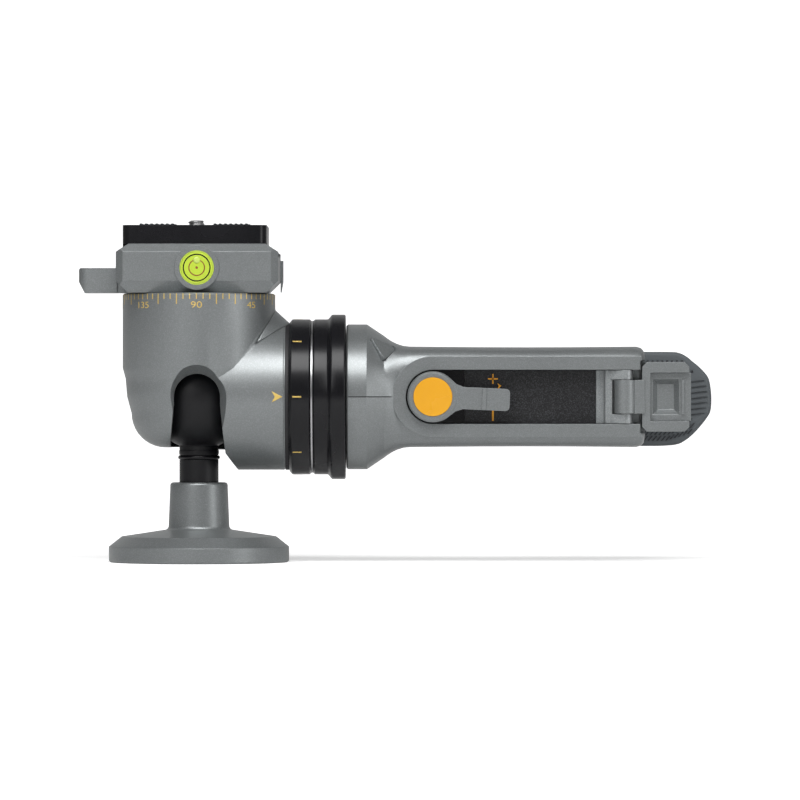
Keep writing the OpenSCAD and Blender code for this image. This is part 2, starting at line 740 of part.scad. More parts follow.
module moving_jaw() color("slategray") at_clamp() difference() {
    union() {
        intersection() {
            clamp_envelope();
            face_x(jaw_section(), -clamp_half_l - cut, clamp_half_l + cut);
        }
        translate([cam_x - cam_r, cam_y - fork_half - fork_wall, jaw_low])
            cube([cam_r + fork_half + fork_wall, jaw_y0 + cut - cam_y + fork_half + fork_wall,
                cam_z + cam_t - jaw_low]);
        translate([clamp_half_l + rest_gap - 2 * clamp_corner, jaw_y0 + clamp_corner, jaw_low])
            cube([2 * clamp_corner + jaw_end - rest_gap, clamp_half_d - jaw_y0 - 2 * clamp_corner,
                jaw_end_high - jaw_low]);
        translate([0, clamp_half_d - clamp_corner, 0]) rotate([90, 0, 0])
            linear_extrude(clamp_half_d - jaw_y0 - 2 * clamp_corner)
            polygon([[clamp_half_l + rest_gap, jaw_end_low], [clamp_half_l + jaw_end / 3, jaw_end_low],
                [clamp_half_l + jaw_end, jaw_low], [clamp_half_l + jaw_end, jaw_end_high],
                [clamp_half_l + rest_gap, jaw_end_high]]);
    }
    translate([-far, cam_y - fork_half, 0]) cube([far + cam_x + fork_half, 2 * fork_half, clamp_h / 2]);
    guide_pins(fit, guide_pin_y0);
}

module clamp_lever() color("slategray") at_clamp() difference() {
    union() {
        bar_z(hub_disc_r, lever_pivot_x, lever_pivot_y, rest_gap, cam_z);
        bar_z(cam_r, cam_x, cam_y, cam_z - rest_gap, cam_z + cam_t);
        translate([ear_x0 - cut, lever_pivot_y - arm_half_w, rest_gap])
            cube([lever_pivot_x - ear_x0 + cut, 2 * arm_half_w, cam_z - 2 * rest_gap]);
        intersection() {
            face_z(concat([[ear_x0, lever_pivot_y - ear_half_w], [ear_x0, lever_pivot_y + ear_half_w]],
                arc(ear_tip_x + arm_half_w, lever_pivot_y + ear_half_w - arm_half_w, arm_half_w, 90, 180, 6),
                arc(ear_tip_x + arm_half_w, lever_pivot_y - ear_half_w + arm_half_w, arm_half_w, 180, 270, 6)),
                rest_gap, ear_h);
            translate([0, clamp_half_d, 0]) rotate([90, 0, 0]) linear_extrude(2 * clamp_half_d)
                polygon([[ear_x0 + cut, 0], [ear_tip_x + ear_slope_w, 0], [ear_tip_x, ear_slope_h],
                    [ear_tip_x, ear_h - edge], [ear_tip_x + edge, ear_h], [ear_x0 + cut, ear_h]]);
        }
    }
    bar_z(lever_pin_r + fit, lever_pivot_x, lever_pivot_y, -cut, lever_pin_len);
}

module pan_bolt() color("silver") {
    top = clamp_z + pan_bolt_grip;
    head_z = ball_z + head_up - pan_shoulder_t - 2 * rest_gap - pan_washer_t;
    difference() {
        union() {
            bar_z(pan_bolt_r, 0, 0, head_z - rest_gap, top);
            bar_z(pan_bolt_head_r, 0, 0, head_z - pan_bolt_head_len, head_z);
        }
        translate([0, 0, head_z - pan_bolt_head_len - cut])
            cylinder(r = pan_bolt_r / 2, h = pan_bolt_head_len / 2 + cut, $fn = 6);
    }
}

module pan_washer() color("ivory")
    translate([0, 0, ball_z + head_up - pan_shoulder_t - rest_gap - pan_washer_t])
    upright(ring_section(pan_bolt_r + fit, pan_bolt_head_r, 0, pan_washer_t));

module click_ball() color("silver")
    translate([0, click_ring_r + click_ball_r + fit, clamp_z + click_ball_r])
    sphere(r = click_ball_r, $fn = small_fn);

module level_cup() color("yellowgreen") at_clamp() translate([0, -clamp_half_d - level_proud, level_z])
    rotate([-90, 0, 0]) difference() {
        cylinder(r = level_r + level_rim, h = level_h + level_proud - rest_gap, $fn = round_fn);
        translate([0, 0, -cut]) cylinder(r = level_r + fit, h = lens_t + cut, $fn = round_fn);
    }

module level_lens() color("greenyellow") at_clamp() translate([0, -clamp_half_d - level_proud, level_z])
    rotate([-90, 0, 0]) cylinder(r = level_r, h = lens_t, $fn = round_fn);

plate_z = clamp_z + clamp_h + rest_gap;
plate_top = plate_z + plate_t;

module quick_plate() color("black") translate([plate_x, 0, 0]) difference() {
    union() {
        for (turn = [0, 90]) intersection() {
            long = turn == 0 ? plate_half_l : plate_half_l - plate_corner;
            deep = turn == 0 ? plate_half_d - plate_corner : plate_half_d;
            translate([-long, -deep, plate_z]) cube([2 * long, 2 * deep, plate_t]);
        }
        for (x = [-1, 1], y = [-1, 1])
            bar_z(plate_corner, x * (plate_half_l - plate_corner), y * (plate_half_d - plate_corner),
                plate_z, plate_top);
        face_x([[-dovetail_half_w, plate_z - dovetail_h], [dovetail_half_w, plate_z - dovetail_h],
            [dovetail_half_w, plate_z - dovetail_h + dovetail_flat],
            [dovetail_half_w - dovetail_in, plate_z - dovetail_h + dovetail_flat + dovetail_in],
            [dovetail_half_w - dovetail_in, plate_z], [-dovetail_half_w + dovetail_in, plate_z],
            [-dovetail_half_w + dovetail_in, plate_z - dovetail_h + dovetail_flat + dovetail_in],
            [-dovetail_half_w, plate_z - dovetail_h + dovetail_flat]],
            -plate_half_l, plate_half_l);
    }
    bar_z(camera_thread_r + fit, 0, 0, 0, far + plate_top);
    bar_z(screw_flange_r + move_gap, 0, 0, plate_z - dovetail_h - cut,
        plate_z - dovetail_h + screw_flange_t + 2 * rest_gap);
    bar_z(clip_r + move_gap, 0, 0, plate_top - clip_sink, plate_top + cut);
    for (side = [-1, 1]) translate([side > 0 ? pad_strip_x : -pad_strip_x - rib_count * rib_pitch,
        -pad_strip_half_d, plate_top - pad_sink])
        cube([rib_count * rib_pitch, 2 * pad_strip_half_d, pad_sink + cut]);
}

// The ribbed rubber strips on both sides of the screw
module plate_pads() color("dimgray") translate([plate_x, 0, 0]) for (side = [-1, 1])
    translate([side > 0 ? pad_strip_x : -pad_strip_x - rib_count * rib_pitch, 0, 0])
    translate([fit, pad_strip_half_d - fit, plate_top - pad_sink]) rotate([90, 0, 0])
    linear_extrude(2 * pad_strip_half_d - 2 * fit)
    polygon(concat([[0, 0]], [for (i = [0:rib_count - 1]) each
        let (w = (rib_count * rib_pitch - 2 * fit) / rib_count, low = pad_sink + pad_proud)
        [[i * w, low + rib_h], [(i + 0.5) * w, low + rib_h], [(i + 0.5) * w, low], [(i + 1) * w, low]]],
        [[rib_count * rib_pitch - 2 * fit, 0]]));

module camera_screw() color("silver") translate([plate_x, 0, 0]) difference() {
    bottom = plate_z - dovetail_h + rest_gap;
    groove_z = plate_top - clip_sink + rest_gap;
    union() {
        bar_z(screw_flange_r, 0, 0, bottom, bottom + screw_flange_t);
        bar_z(screw_neck_r, 0, 0, bottom, plate_top + camera_thread_h - edge);
        bar_z(camera_thread_r, 0, 0, bottom, groove_z - fit);
        bar_z(camera_thread_r, 0, 0, groove_z + clip_t + fit, plate_top + camera_thread_h);
    }
    translate([-screw_flange_r / 2, -edge, bottom - cut])
        cube([screw_flange_r, 2 * edge, cut + screw_flange_t / 2]);
}

module screw_clip() color("silver") translate([plate_x, 0, plate_top - clip_sink + rest_gap])
    upright(ring_section(screw_neck_r + fit, clip_r, 0, clip_t), small_fn);

// The sleeve under the rings: it turns on the neck and its thin end is gripped by the shells
module handle_hub() color("dimgray") lying([
    [neck_r + fit, ring_x0 + fit], [hub_r, ring_x0 + fit], [hub_r, collar_x1 + fit],
    [hub_spigot_r, collar_x1 + fit], [hub_spigot_r, root_x + spigot_len],
    [hub_spigot_r - neck_tail_len, root_x + spigot_len], [hub_spigot_r - neck_tail_len, root_x],
    [washer_r, root_x], [washer_r, tail_x + 2 * rest_gap], [hub_nut_r, tail_x + 2 * rest_gap],
    [hub_nut_r, neck_x - rest_gap], [neck_r + fit, neck_x - rest_gap]]);

module index_ring() color("black")
    lying([[hub_r + fit, ring_x0 + fit], [index_r - 2 * edge, ring_x0 + fit], [index_r, ring_x0 + 1.8 * edge],
        [index_r, spacer_x0 - edge], [index_r - edge, spacer_x0], [hub_r + fit, spacer_x0]]);

module spacer_ring() color("white")
    lying(ring_section(hub_r + fit, index_r - edge, spacer_x0 + fit, collar_x0 - fit));

// The locking collar: a plain band, an ogee and a rounded flange
module turn_collar() color("black") {
    flange_x = collar_x1 - collar_flange_w;
    ogee_x = flange_x - collar_ogee_w;
    rise = flange_r - index_r;
    lying(concat([[hub_r + fit, collar_x0], [index_r - edge, collar_x0], [index_r, collar_x0 + edge]],
        [for (i = [0:8]) [index_r + rise * (1 - cos(22.5 * i)) / 2, ogee_x + collar_ogee_w * i / 8]],
        arc(flange_r - edge, collar_x1 - edge, edge, 0, 90, 4), [[hub_r + fit, collar_x1]]));
}

// Half section of the grip, at distance s from its root: from the back round the top to the front
function limit(v) = max(0, min(1, v));
function mix(a, b, t) = a + (b - a) * t;
grip_waist_share = 0.014;
grip_squareness = 2.4;
function grip_round(s) = s > grip_len - end_round
    ? end_round * (1 - sqrt(max(0, 1 - pow((s - grip_len + end_round) / end_round, 2)))) : 0;
function half_ring(s) =
    let (s0 = root_w + cone_w, u = limit((s - s0) / blend_w), e = 1 - pow(1 - u, 2),
        v = limit((s - s0) / back_taper_w), w = v * v * (3 - 2 * v),
        t = limit((s - s0 - blend_w) / (grip_len - s0 - blend_w)),
        r = s < edge ? root_r - edge + s : s <= root_w ? root_r : mix(root_r, cone_r, (s - root_w) / cone_w),
        top = s <= s0 ? r : mix(cone_r, grip_half_h * (1 - grip_waist_share * sin(180 * t)), e) - grip_round(s),
        front = s <= s0 ? r : mix(cone_r, grip_front - 2.6 * edge, e) - grip_round(s),
        back = s <= s0 ? r : mix(cone_r, grip_back, w),
        power = 2 / (2 + grip_squareness * u))
    [for (i = [0:half_steps]) let (a = 180 * i / half_steps, c = cos(a), h = sin(a))
        [root_x + s, (c > 0 ? back : -front) * pow(abs(c), power), top * pow(max(h, 0), power)]];

grip_stations = concat([0, edge, root_w, root_w + cone_w],
    [for (share = [0.12, 0.28, 0.5, 0.75, 1]) root_w + cone_w + share * blend_w],
    [for (share = [0.6, 0.8, 1]) root_w + cone_w + share * back_taper_w],
    [for (share = [0.45, 0.6, 0.75, 0.9]) share * grip_len],
    [for (a = [0, 35, 60, 85]) grip_len - end_round + end_round * sin(a)]);

// Outline of the button: a soft triangle, g wider all round
function soft_triangle(g) = let (c = button_corners_share, l = button_long) concat(
    arc(l * c[0][0], l * c[0][1], l * c[0][2] + g, 215, 90, 4),
    arc(l * c[1][0], l * c[1][1], l * c[1][2] + g, 90, -30, 6),
    arc(l * c[2][0], l * c[2][1], l * c[2][2] + g, -30, -145, 4));

module at_button() translate([button_x, 0, ball_z]) rotate([button_turn, 0, 0])
    translate([0, 0, button_axis_r]) rotate([0, button_slope, 0]) children();

// The raised rim round the recess, of one half of the grip
module rim_half() intersection() {
    face_y(concat([[end_x - end_round / 2, -rim_half_h]],
        [[end_x - end_round / 2, rim_half_h]],
        arc(dial_x, 0, rim_half_h, 90, 270, 24)),
        -grip_front, -grip_front + recess_depth / 2);
    block([0, -far, 0], [far + end_x, far, far]);
}

// All hollows of the grip housing
module grip_hollows() {
    floor_y = -grip_front + recess_depth;
    bar_x(hub_spigot_r + fit, root_x - cut, root_x + spigot_len + rest_gap);
    block([root_x, -works_front, -works_half_h], [works_x1, far, works_half_h]);
    face_y(concat([[far + end_x, -recess_half_h], [far + end_x, recess_half_h]],
        arc(dial_x, 0, recess_half_h, 90, 270, 24)), -far, floor_y);
    block([latch_x0 - 1.3 * edge, -far, -latch_half_h - edge],
        [far + end_x, latch_y0 + latch_t + edge, latch_half_h + edge]);
    bar_y(spindle_r + fit, dial_x, 0, floor_y - cut, -works_front + cut);
    bar_z(trigger_pin_r + fit, pivot_x, pivot_y, ball_z - trigger_pin_half - rest_gap,
        ball_z + trigger_pin_half + rest_gap);
    for (share = screw_places_share) {
        bar_z(screw_r + fit, root_x + share * grip_len, screw_y, ball_z - grip_half_h,
            ball_z + screw_reach + rest_gap);
        bar_z(screw_head_r + screw_gap, root_x + share * grip_len, screw_y, 0,
            ball_z - grip_half_h + screw_sink + rest_gap);
    }
    at_button() translate([0, 0, -button_well]) linear_extrude(far) polygon(soft_triangle(button_gap));
}

module grip_half() union() {
    translate([0, 0, ball_z]) skin([for (s = grip_stations) half_ring(s)]);
    rim_half();
}

module handle_shell_upper() color("slategray") difference() {
    grip_half();
    grip_hollows();
}

module handle_shell_lower() color("slategray") difference() {
    translate([0, 0, 2 * ball_z]) mirror([0, 0, 1]) grip_half();
    grip_hollows();
}

module shell_screws() color("silver") for (share = screw_places_share) difference() {
    head_z = ball_z - grip_half_h + screw_sink;
    x = root_x + share * grip_len;
    union() {
        bar_z(screw_head_r, x, screw_y, head_z - screw_head_len, head_z);
        bar_z(screw_r, x, screw_y, head_z - fit, ball_z + screw_reach);
    }
    translate([x, screw_y, head_z - screw_head_len - cut])
        cylinder(r = screw_r, h = cut + screw_head_len / 2, $fn = 6);
}

bed_y = -grip_front + recess_depth - fit;

module lever_bed() color("black") difference() {
    face_y(concat([[bed_x1, -recess_half_h + 2 * rest_gap], [bed_x1, recess_half_h - 2 * rest_gap]],
        arc(dial_x, 0, recess_half_h - 2 * rest_gap, 90, 270, 24)), bed_y - panel_t, bed_y);
    bar_y(spindle_r + fit, dial_x, 0, bed_y - panel_t - cut, bed_y + cut);
}

module front_panel() color("black") block([bed_x1 + rest_gap, bed_y - panel_t, -recess_half_h + 2 * rest_gap],
    [panel_x1, bed_y, recess_half_h - 2 * rest_gap]);

module trigger_pin() color("silver")
    bar_z(trigger_pin_r, pivot_x, pivot_y, ball_z - trigger_pin_half, ball_z + trigger_pin_half);

module hinge_bracket() color("lightslategray") {
    half = recess_half_h - 2 * rest_gap;
    step_x = panel_x1 + rest_gap + bracket_step_w;
    inner = knuckle_half_h + 2 * rest_gap;
    difference() {
        union() {
            block([panel_x1 + rest_gap, bed_y - panel_t, -half], [step_x, bed_y, half]);
            face_z([[panel_x1 + bracket_step_w / 2, bed_y - panel_t + cut],
                [panel_x1 + bracket_step_w / 2, bed_y - 3.2 * panel_t],
                [panel_x1 + bracket_step_w / 2 + edge, bed_y - 3.8 * panel_t], [step_x, bed_y - 3.8 * panel_t],
                [step_x, bed_y - panel_t + cut]], ball_z - half, ball_z + half);
            for (side = [-1, 1]) face_z(concat([[step_x - cut, bed_y], [step_x - cut, bed_y - 3.8 * panel_t]],
                arc(latch_pin_x, latch_pin_y, bracket_arm_t - edge, 250, 360, 6),
                [[latch_pin_x + bracket_arm_t - edge, bed_y]]),
                ball_z + (side > 0 ? inner : -half), ball_z + (side > 0 ? half : -inner));
        }
        bar_z(pin_r + fit, latch_pin_x, latch_pin_y, ball_z - half - cut, ball_z + half + cut);
    }
}

module latch_pin() color("silver") bar_z(pin_r, latch_pin_x, latch_pin_y,
    ball_z - recess_half_h + 2 * rest_gap, ball_z + recess_half_h - 2 * rest_gap);

module latch_frame() color("slategray") difference() {
    y1 = latch_y0 + latch_t;
    union() {
        face_y([[latch_x0, -latch_half_h + latch_corner], [latch_x0 + latch_corner, -latch_half_h],
            [latch_x0 + latch_len - latch_corner, -latch_half_h],
            [latch_x0 + latch_len, -latch_half_h + latch_corner],
            [latch_x0 + latch_len, latch_half_h - latch_corner], [latch_x0 + latch_len - latch_corner,
                latch_half_h],
            [latch_x0 + latch_corner, latch_half_h], [latch_x0, latch_half_h - latch_corner]], latch_y0, y1);
        bar_z(knuckle_r, latch_pin_x, latch_pin_y, ball_z - knuckle_half_h, ball_z + knuckle_half_h);
        block([latch_pin_x, latch_y0 - edge, -knuckle_half_h],
            [latch_x0 + cut, latch_y0 + latch_t / 2, knuckle_half_h]);
    }
    block([latch_x0 + tray_x, -far, -tray_half_h - fit], [far + end_x, far, tray_half_h + fit]);
    bar_z(pin_r + fit, latch_pin_x, latch_pin_y, 0, far);
}

module latch_tray() color("slategray") {
    x0 = latch_x0 + tray_x + fit;
    face = latch_y0 + tray_sink;
    well_x0 = x0 + well_x;
    difference() {
        union() {
            block([x0, face, -tray_half_h], [x0 + tray_len, latch_y0 + latch_t - edge, tray_half_h]);
            block([x0 + tray_ridge_x, face - tray_ridge_h, -tray_ridge_half_h],
                [x0 + tray_ridge_x + tray_ridge_w, face + cut, tray_ridge_half_h]);
        }
        skin([for (k = [1, 0]) let (g = k * 1.3 * well_slope, y = face + tray_sink * (1 - 1.3 * k))
            [[well_x0 - g, y, ball_z + well_half_h + g], [well_x0 + well_len + g, y, ball_z + well_half_h + g],
            [well_x0 + well_len + g, y, ball_z - well_half_h - g], [well_x0 - g, y,
                ball_z - well_half_h - g]]]);
    }
}

// Carries a shape from the lever's closed stand to its rest
module opened() translate([pivot_x, pivot_y, 0]) rotate([0, 0, squeeze_angle])
    translate([-pivot_x, -pivot_y, 0]) children();

bar_end_x = pad_x0 + pad_len - pad_end_flat;

module trigger_lever() color("dimgray") opened() difference() {
    low = ball_z - lever_root_half_h;
    high = ball_z + lever_root_half_h;
    bar_back = lever_bar_y0 + lever_bar_t;
    union() {
        bar_z(lever_root_r, pivot_x, pivot_y, low, high);
        face_z([[pivot_x - lever_root_r, pivot_y], [pivot_x + nose_reach - lever_nose, pivot_y],
            [pivot_x + nose_reach - lever_nose, lever_nose_y], [pivot_x + nose_reach, lever_nose_y],
            [pivot_x + nose_reach, lever_bar_y0], [pivot_x + nose_reach, bar_back],
            [pivot_x, bar_back], [pivot_x - lever_root_r, lever_bar_y0]], low, high);
        face_z([[pivot_x, lever_bar_y0], [bar_end_x, lever_bar_y0], [bar_end_x, bar_back], [pivot_x, bar_back]],
            ball_z - lever_bar_half_h, ball_z + lever_bar_half_h);
    }
    bar_z(trigger_pin_r + fit, pivot_x, pivot_y, 0, far);
    bar_x(lever_rod_hole_r, root_x, pivot_x + 2 * nose_reach);
    bar_x(washer_r + 2 * move_gap, pivot_x + nose_reach, rod_end_x + 2 * rod_travel);
}

// Outline of the rubber pad, inset by d: square at the grip's root, blunt at its end
pad_end_share = [[0, 1], [0.08, 0.95], [0.36, 0.8], [0.61, 0.65], [0.84, 0.45], [0.95, 0.28], [1, 0.08]];
function pad_ring(y, d) =
    let (h = pad_half_h - d, x0 = pad_x0 + d, x1 = pad_x0 + pad_len - pad_end_flat,
        reach = pad_end_flat - d, half = [for (p = pad_end_share) [x1 + reach * p[0], h * p[1]]],
        top = concat(arc(x0 + pad_round, h - pad_round, pad_round, 180, 90, 4), half))
    concat([for (p = top) [p[0], y, ball_z - pad_drop + p[1]]],
        [for (i = [len(top) - 1:-1:0]) [top[i][0], y, ball_z - pad_drop - top[i][1]]]);

module trigger_grip() color("dimgray") opened() difference() {
    y0 = lever_bar_y0 + pad_gap;
    skin([for (p = [[0, 0.86 * pad_edge], [pad_edge, 0], [pad_depth - 0.77 * pad_soft, 0],
        [pad_depth - 0.37 * pad_soft, 0.18 * pad_soft], [pad_depth - 0.11 * pad_soft, 0.52 * pad_soft],
        [pad_depth, pad_soft]]) pad_ring(y0 + p[0], p[1])]);
    translate([0, 0, ball_z - lever_bar_half_h - fit])
        cube([bar_end_x + fit, lever_bar_y0 + lever_bar_t + fit, 2 * lever_bar_half_h + 2 * fit]);
}

module at_dial() translate([dial_x, 0, ball_z]) rotate([0, -arm_rest_angle, 0])
    translate([-dial_x, 0, -ball_z]) children();

dial_y = bed_y - panel_t - 2 * rest_gap;

module friction_lever() color("slategray") at_dial() difference() {
    face = dial_y - dial_h;
    arm_y = face + 2 * rest_gap;
    tip = dial_x + arm_reach;
    neck = dial_x + arm_neck_x;
    wide = 1.6 * arm_half_w;
    half = [[dial_x, wide], [dial_x + dial_r * 0.72, wide],
        [mix(dial_x + dial_r * 0.72, neck, 0.4), mix(wide, arm_half_w, 0.62)],
        [neck, arm_half_w], [tip - arm_tip_r, arm_half_w]];
    union() {
        bar_y(dial_r, dial_x, 0, face + edge, dial_y, round_fn);
        translate([dial_x, face + edge, ball_z]) rotate([90, 0, 0])
            cylinder(r1 = dial_r, r2 = dial_r - edge, h = edge, $fn = round_fn);
        face_y(concat([for (p = half) [p[0], -p[1]]],
            arc(tip - arm_tip_r, -arm_half_w + arm_tip_r, arm_tip_r, -90, 0, 4),
            arc(tip - arm_tip_r, arm_half_w - arm_tip_r, arm_tip_r, 0, 90, 4),
            [for (i = [len(half) - 1:-1:0]) half[i]]), arm_y, arm_y + arm_t);
        block([dial_x + arm_ridge_x, arm_y - arm_ridge_h, -arm_half_w],
            [dial_x + arm_ridge_x + arm_ridge_w, arm_y + cut, arm_half_w]);
    }
    bar_y(cap_r + fit, dial_x, 0, face - cut, face + cap_sink, round_fn);
}

module lever_cap() color("orange")
    bar_y(cap_r, dial_x, 0, dial_y - dial_h - cap_proud, dial_y - dial_h + cap_sink, round_fn);

module friction_spindle() color("silver") bar_y(spindle_r, dial_x, 0, dial_y, dial_y + spindle_len);

module lock_button() color("slategray") at_button() translate([0, 0, button_proud - button_h])
    linear_extrude(button_h) polygon(soft_triangle(0));

module button_spring() color("silver") at_button() translate([0, 0, -button_well + rest_gap])
    coil(button_spring_r, button_wire_r, button_well - button_h + button_proud - 2 * rest_gap, 3);

base_plate();
tripod_thread_bush();
ball_stem();
stem_grub_screw();
stem_ring();
ball_cup();
head_housing();
side_seat();
spring_plug();
neck_nut();
brake_spring();
click_ring();
brake_shoe();
pull_rod();
rod_washer();
rod_nut();
clamp_body();
pan_bolt();
pan_washer();
click_ball();
level_cup();
level_lens();
jaw_guide_pins();
lever_pivot_pin();
moving_jaw();
clamp_lever();
quick_plate();
plate_pads();
camera_screw();
screw_clip();
index_ring();
spacer_ring();
handle_hub();
turn_collar();
handle_shell_upper();
handle_shell_lower();
shell_screws();
front_panel();
lever_bed();
trigger_pin();
hinge_bracket();
latch_pin();
trigger_lever();
trigger_grip();
friction_lever();
lever_cap();
friction_spindle();
latch_frame();
latch_tray();
lock_button();
button_spring();
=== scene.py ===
# %% [markdown]
# # A pistol-grip ball head, dressed for a portrait
#
# The solids come ready made, one for each piece of the real head. This lesson gives them their finishes and
# adds what the solids leave out: engraved scales, the threads of the camera screw, the rubber pad's moulded
# studs, the soft fillet of the casting, and the liquid level. All sizes below are millimetres, and `MM` turns
# them into metres where a mesh is made.

import math

import bmesh
import bpy
import numpy as np
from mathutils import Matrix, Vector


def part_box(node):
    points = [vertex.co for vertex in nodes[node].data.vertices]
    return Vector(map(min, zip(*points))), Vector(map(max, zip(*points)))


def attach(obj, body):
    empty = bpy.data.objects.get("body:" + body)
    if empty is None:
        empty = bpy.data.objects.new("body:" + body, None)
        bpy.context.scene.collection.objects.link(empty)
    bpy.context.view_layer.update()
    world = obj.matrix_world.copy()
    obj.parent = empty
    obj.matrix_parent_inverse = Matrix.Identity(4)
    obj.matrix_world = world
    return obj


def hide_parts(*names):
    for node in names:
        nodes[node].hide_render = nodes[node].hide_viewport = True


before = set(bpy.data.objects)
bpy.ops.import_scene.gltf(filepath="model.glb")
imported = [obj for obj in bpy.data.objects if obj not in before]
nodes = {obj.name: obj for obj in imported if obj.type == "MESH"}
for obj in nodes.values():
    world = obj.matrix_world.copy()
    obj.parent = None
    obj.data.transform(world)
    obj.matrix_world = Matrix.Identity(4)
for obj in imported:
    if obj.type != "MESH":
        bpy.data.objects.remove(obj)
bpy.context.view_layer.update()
MM = 0.001
BALL_Z = 63.0

# %% [markdown]
# ## The camera first
#
# A long lens, 2.2 m away at the head's own height, shows the object almost without perspective. It looks along
# +Y at the side that carries the level and the friction lever.

# %%
scene = bpy.context.scene
lens = bpy.data.cameras.new("portrait_lens")
lens.sensor_width = 36.0
lens.lens = 259.4
lens.clip_end = 20.0
camera = bpy.data.objects.new("portrait_camera", lens)
camera.location = (0.0767, -2.2, 0.0618)
camera.rotation_euler = (math.radians(90), 0, 0)
scene.collection.objects.link(camera)
scene.camera = camera
scene.view_settings.view_transform = "Standard"
print("camera at", tuple(camera.location))

# %% [markdown]
# ## Meshes from whole arrays
#
# Every added surface is a grid of points P[i, j], worked out at once with numpy. `sweep` closes such a grid
# into a body: i runs along it, j runs round its section, and the ends get flat caps or meet in a loop.

# %%
def mesh_object(name, points, faces, smooth=True):
    """An object from an array of points in millimetres and lists of point numbers."""
    mesh = bpy.data.meshes.new(name)
    mesh.from_pydata((np.asarray(points, float).reshape(-1, 3) * MM).tolist(), [], faces)
    mesh.polygons.foreach_set("use_smooth", np.full(len(mesh.polygons), smooth))
    mesh.validate()
    mesh.update()
    made = bpy.data.objects.new(name, mesh)
    scene.collection.objects.link(made)
    return made


def sweep(name, P, smooth=True, loop=False):
    """A closed body from the grid P[i, j] of quads (i, j), (i, j+1), (i+1, j+1), (i+1, j), capped or looped."""
    n, m = P.shape[:2]
    i, j = np.meshgrid(np.arange(n if loop else n - 1), np.arange(m), indexing="ij")
    a, b = i * m + j, i * m + (j + 1) % m
    c, d = (i + 1) % n * m + (j + 1) % m, (i + 1) % n * m + j
    faces = np.stack([a, b, c, d], -1).reshape(-1, 4).tolist()
    if not loop:
        faces += [list(range(m))[::-1], list(range((n - 1) * m, n * m))]
    return mesh_object(name, P, faces, smooth)


def outward(made):
    """Turns all faces of a closed mesh outward."""
    work = bmesh.new()
    work.from_mesh(made.data)
    bmesh.ops.recalc_face_normals(work, faces=work.faces[:])
    work.to_mesh(made.data)
    work.free()
    return made


def many(name, template, faces, places, smooth=True):
    """Copies of one small body: points template[k] + places[n], joined into one mesh."""
    template, places = np.asarray(template, float), np.asarray(places, float)
    P = places[:, None, :] + template[None, :, :]
    shift = np.arange(len(places)) * len(template)
    return mesh_object(name, P, [[k + s for k in face] for s in shift.tolist() for face in faces], smooth)


def prism(outline, wrap, low, high):
    """Points and faces of a flat outline [u, v], raised from low to high and laid on by wrap(u, v, h)."""
    u, v = np.asarray(outline, float).T
    n = len(u)
    P = np.concatenate([wrap(u, v, np.full(n, low)), wrap(u, v, np.full(n, high))])
    sides = [[k, (k + 1) % n, n + (k + 1) % n, n + k] for k in range(n)]
    return P, [list(range(n))[::-1], list(range(n, 2 * n))] + sides


def marks(name, outlines, wrap, low=-0.05, high=0.04):
    """Painted marks: several raised outlines in one mesh."""
    points, faces, start = [], [], 0
    for outline in outlines:
        P, own = prism(outline, wrap, low, high)
        points.append(P)
        faces += [[k + start for k in face] for face in own]
        start += len(P)
    return outward(mesh_object(name, np.concatenate(points), faces, smooth=False))


def rectangle(u0, u1, v0, v1):
    """Corners of a rectangle, anticlockwise."""
    return [(u0, v0), (u1, v0), (u1, v1), (u0, v1)]


def round_upright(radius, z0, turn=0.0):
    """A wrap for the upright cylinder: u goes round from -Y towards +X, v goes up from z0, h goes out."""
    def wrap(u, v, h):
        a = u / radius + math.radians(turn)
        return np.stack([(radius + h) * np.sin(a), -(radius + h) * np.cos(a), z0 + v], -1)
    return wrap


def round_lying(radius, x0):
    """A wrap for a cylinder about the grip's axis: u runs along +X from x0, v goes up round from -Y."""
    def wrap(u, v, h):
        a = v / radius
        return np.stack([x0 + u, -(radius + h) * np.cos(a), BALL_Z + (radius + h) * np.sin(a)], -1)
    return wrap


def facing(y, x0, z0):
    """A wrap for a flat face towards -Y: u along +X, v up, h out."""
    return lambda u, v, h: np.stack([x0 + u, y - h, z0 + v], -1)


print("mesh helpers ready")

# %% [markdown]
# ## Shared effects as node groups
#
# Two groups carry what several finishes share. `FineSparkle` turns Voronoi cells into flakes: each cell has a
# random grey, and only the brighter ones glint. It also gives a soft cloud. `SoftGrain` is a low bump for cast,
# moulded or rubbed skins. It is laid over a rounded normal, so that light runs over corners as if a file had
# broken them.

# %%
def group(name, inputs, outputs):
    """An empty shader group with named sockets: inputs are (name, value), outputs are (name, socket type)."""
    tree = bpy.data.node_groups.new(name, "ShaderNodeTree")
    for label, value in inputs:
        tree.interface.new_socket(label, in_out="INPUT", socket_type="NodeSocketFloat").default_value = value
    for label, kind in outputs:
        tree.interface.new_socket(label, in_out="OUTPUT", socket_type=kind)
    return tree, tree.nodes.new("NodeGroupInput"), tree.nodes.new("NodeGroupOutput")


def add(tree, kind, **settings):
    """A node of one kind; settings name its properties, or its input sockets by their label."""
    made = tree.nodes.new(kind)
    for key, value in settings.items():
        if key in made.inputs:
            made.inputs[key].default_value = value
        else:
            setattr(made, key, value)
    return made


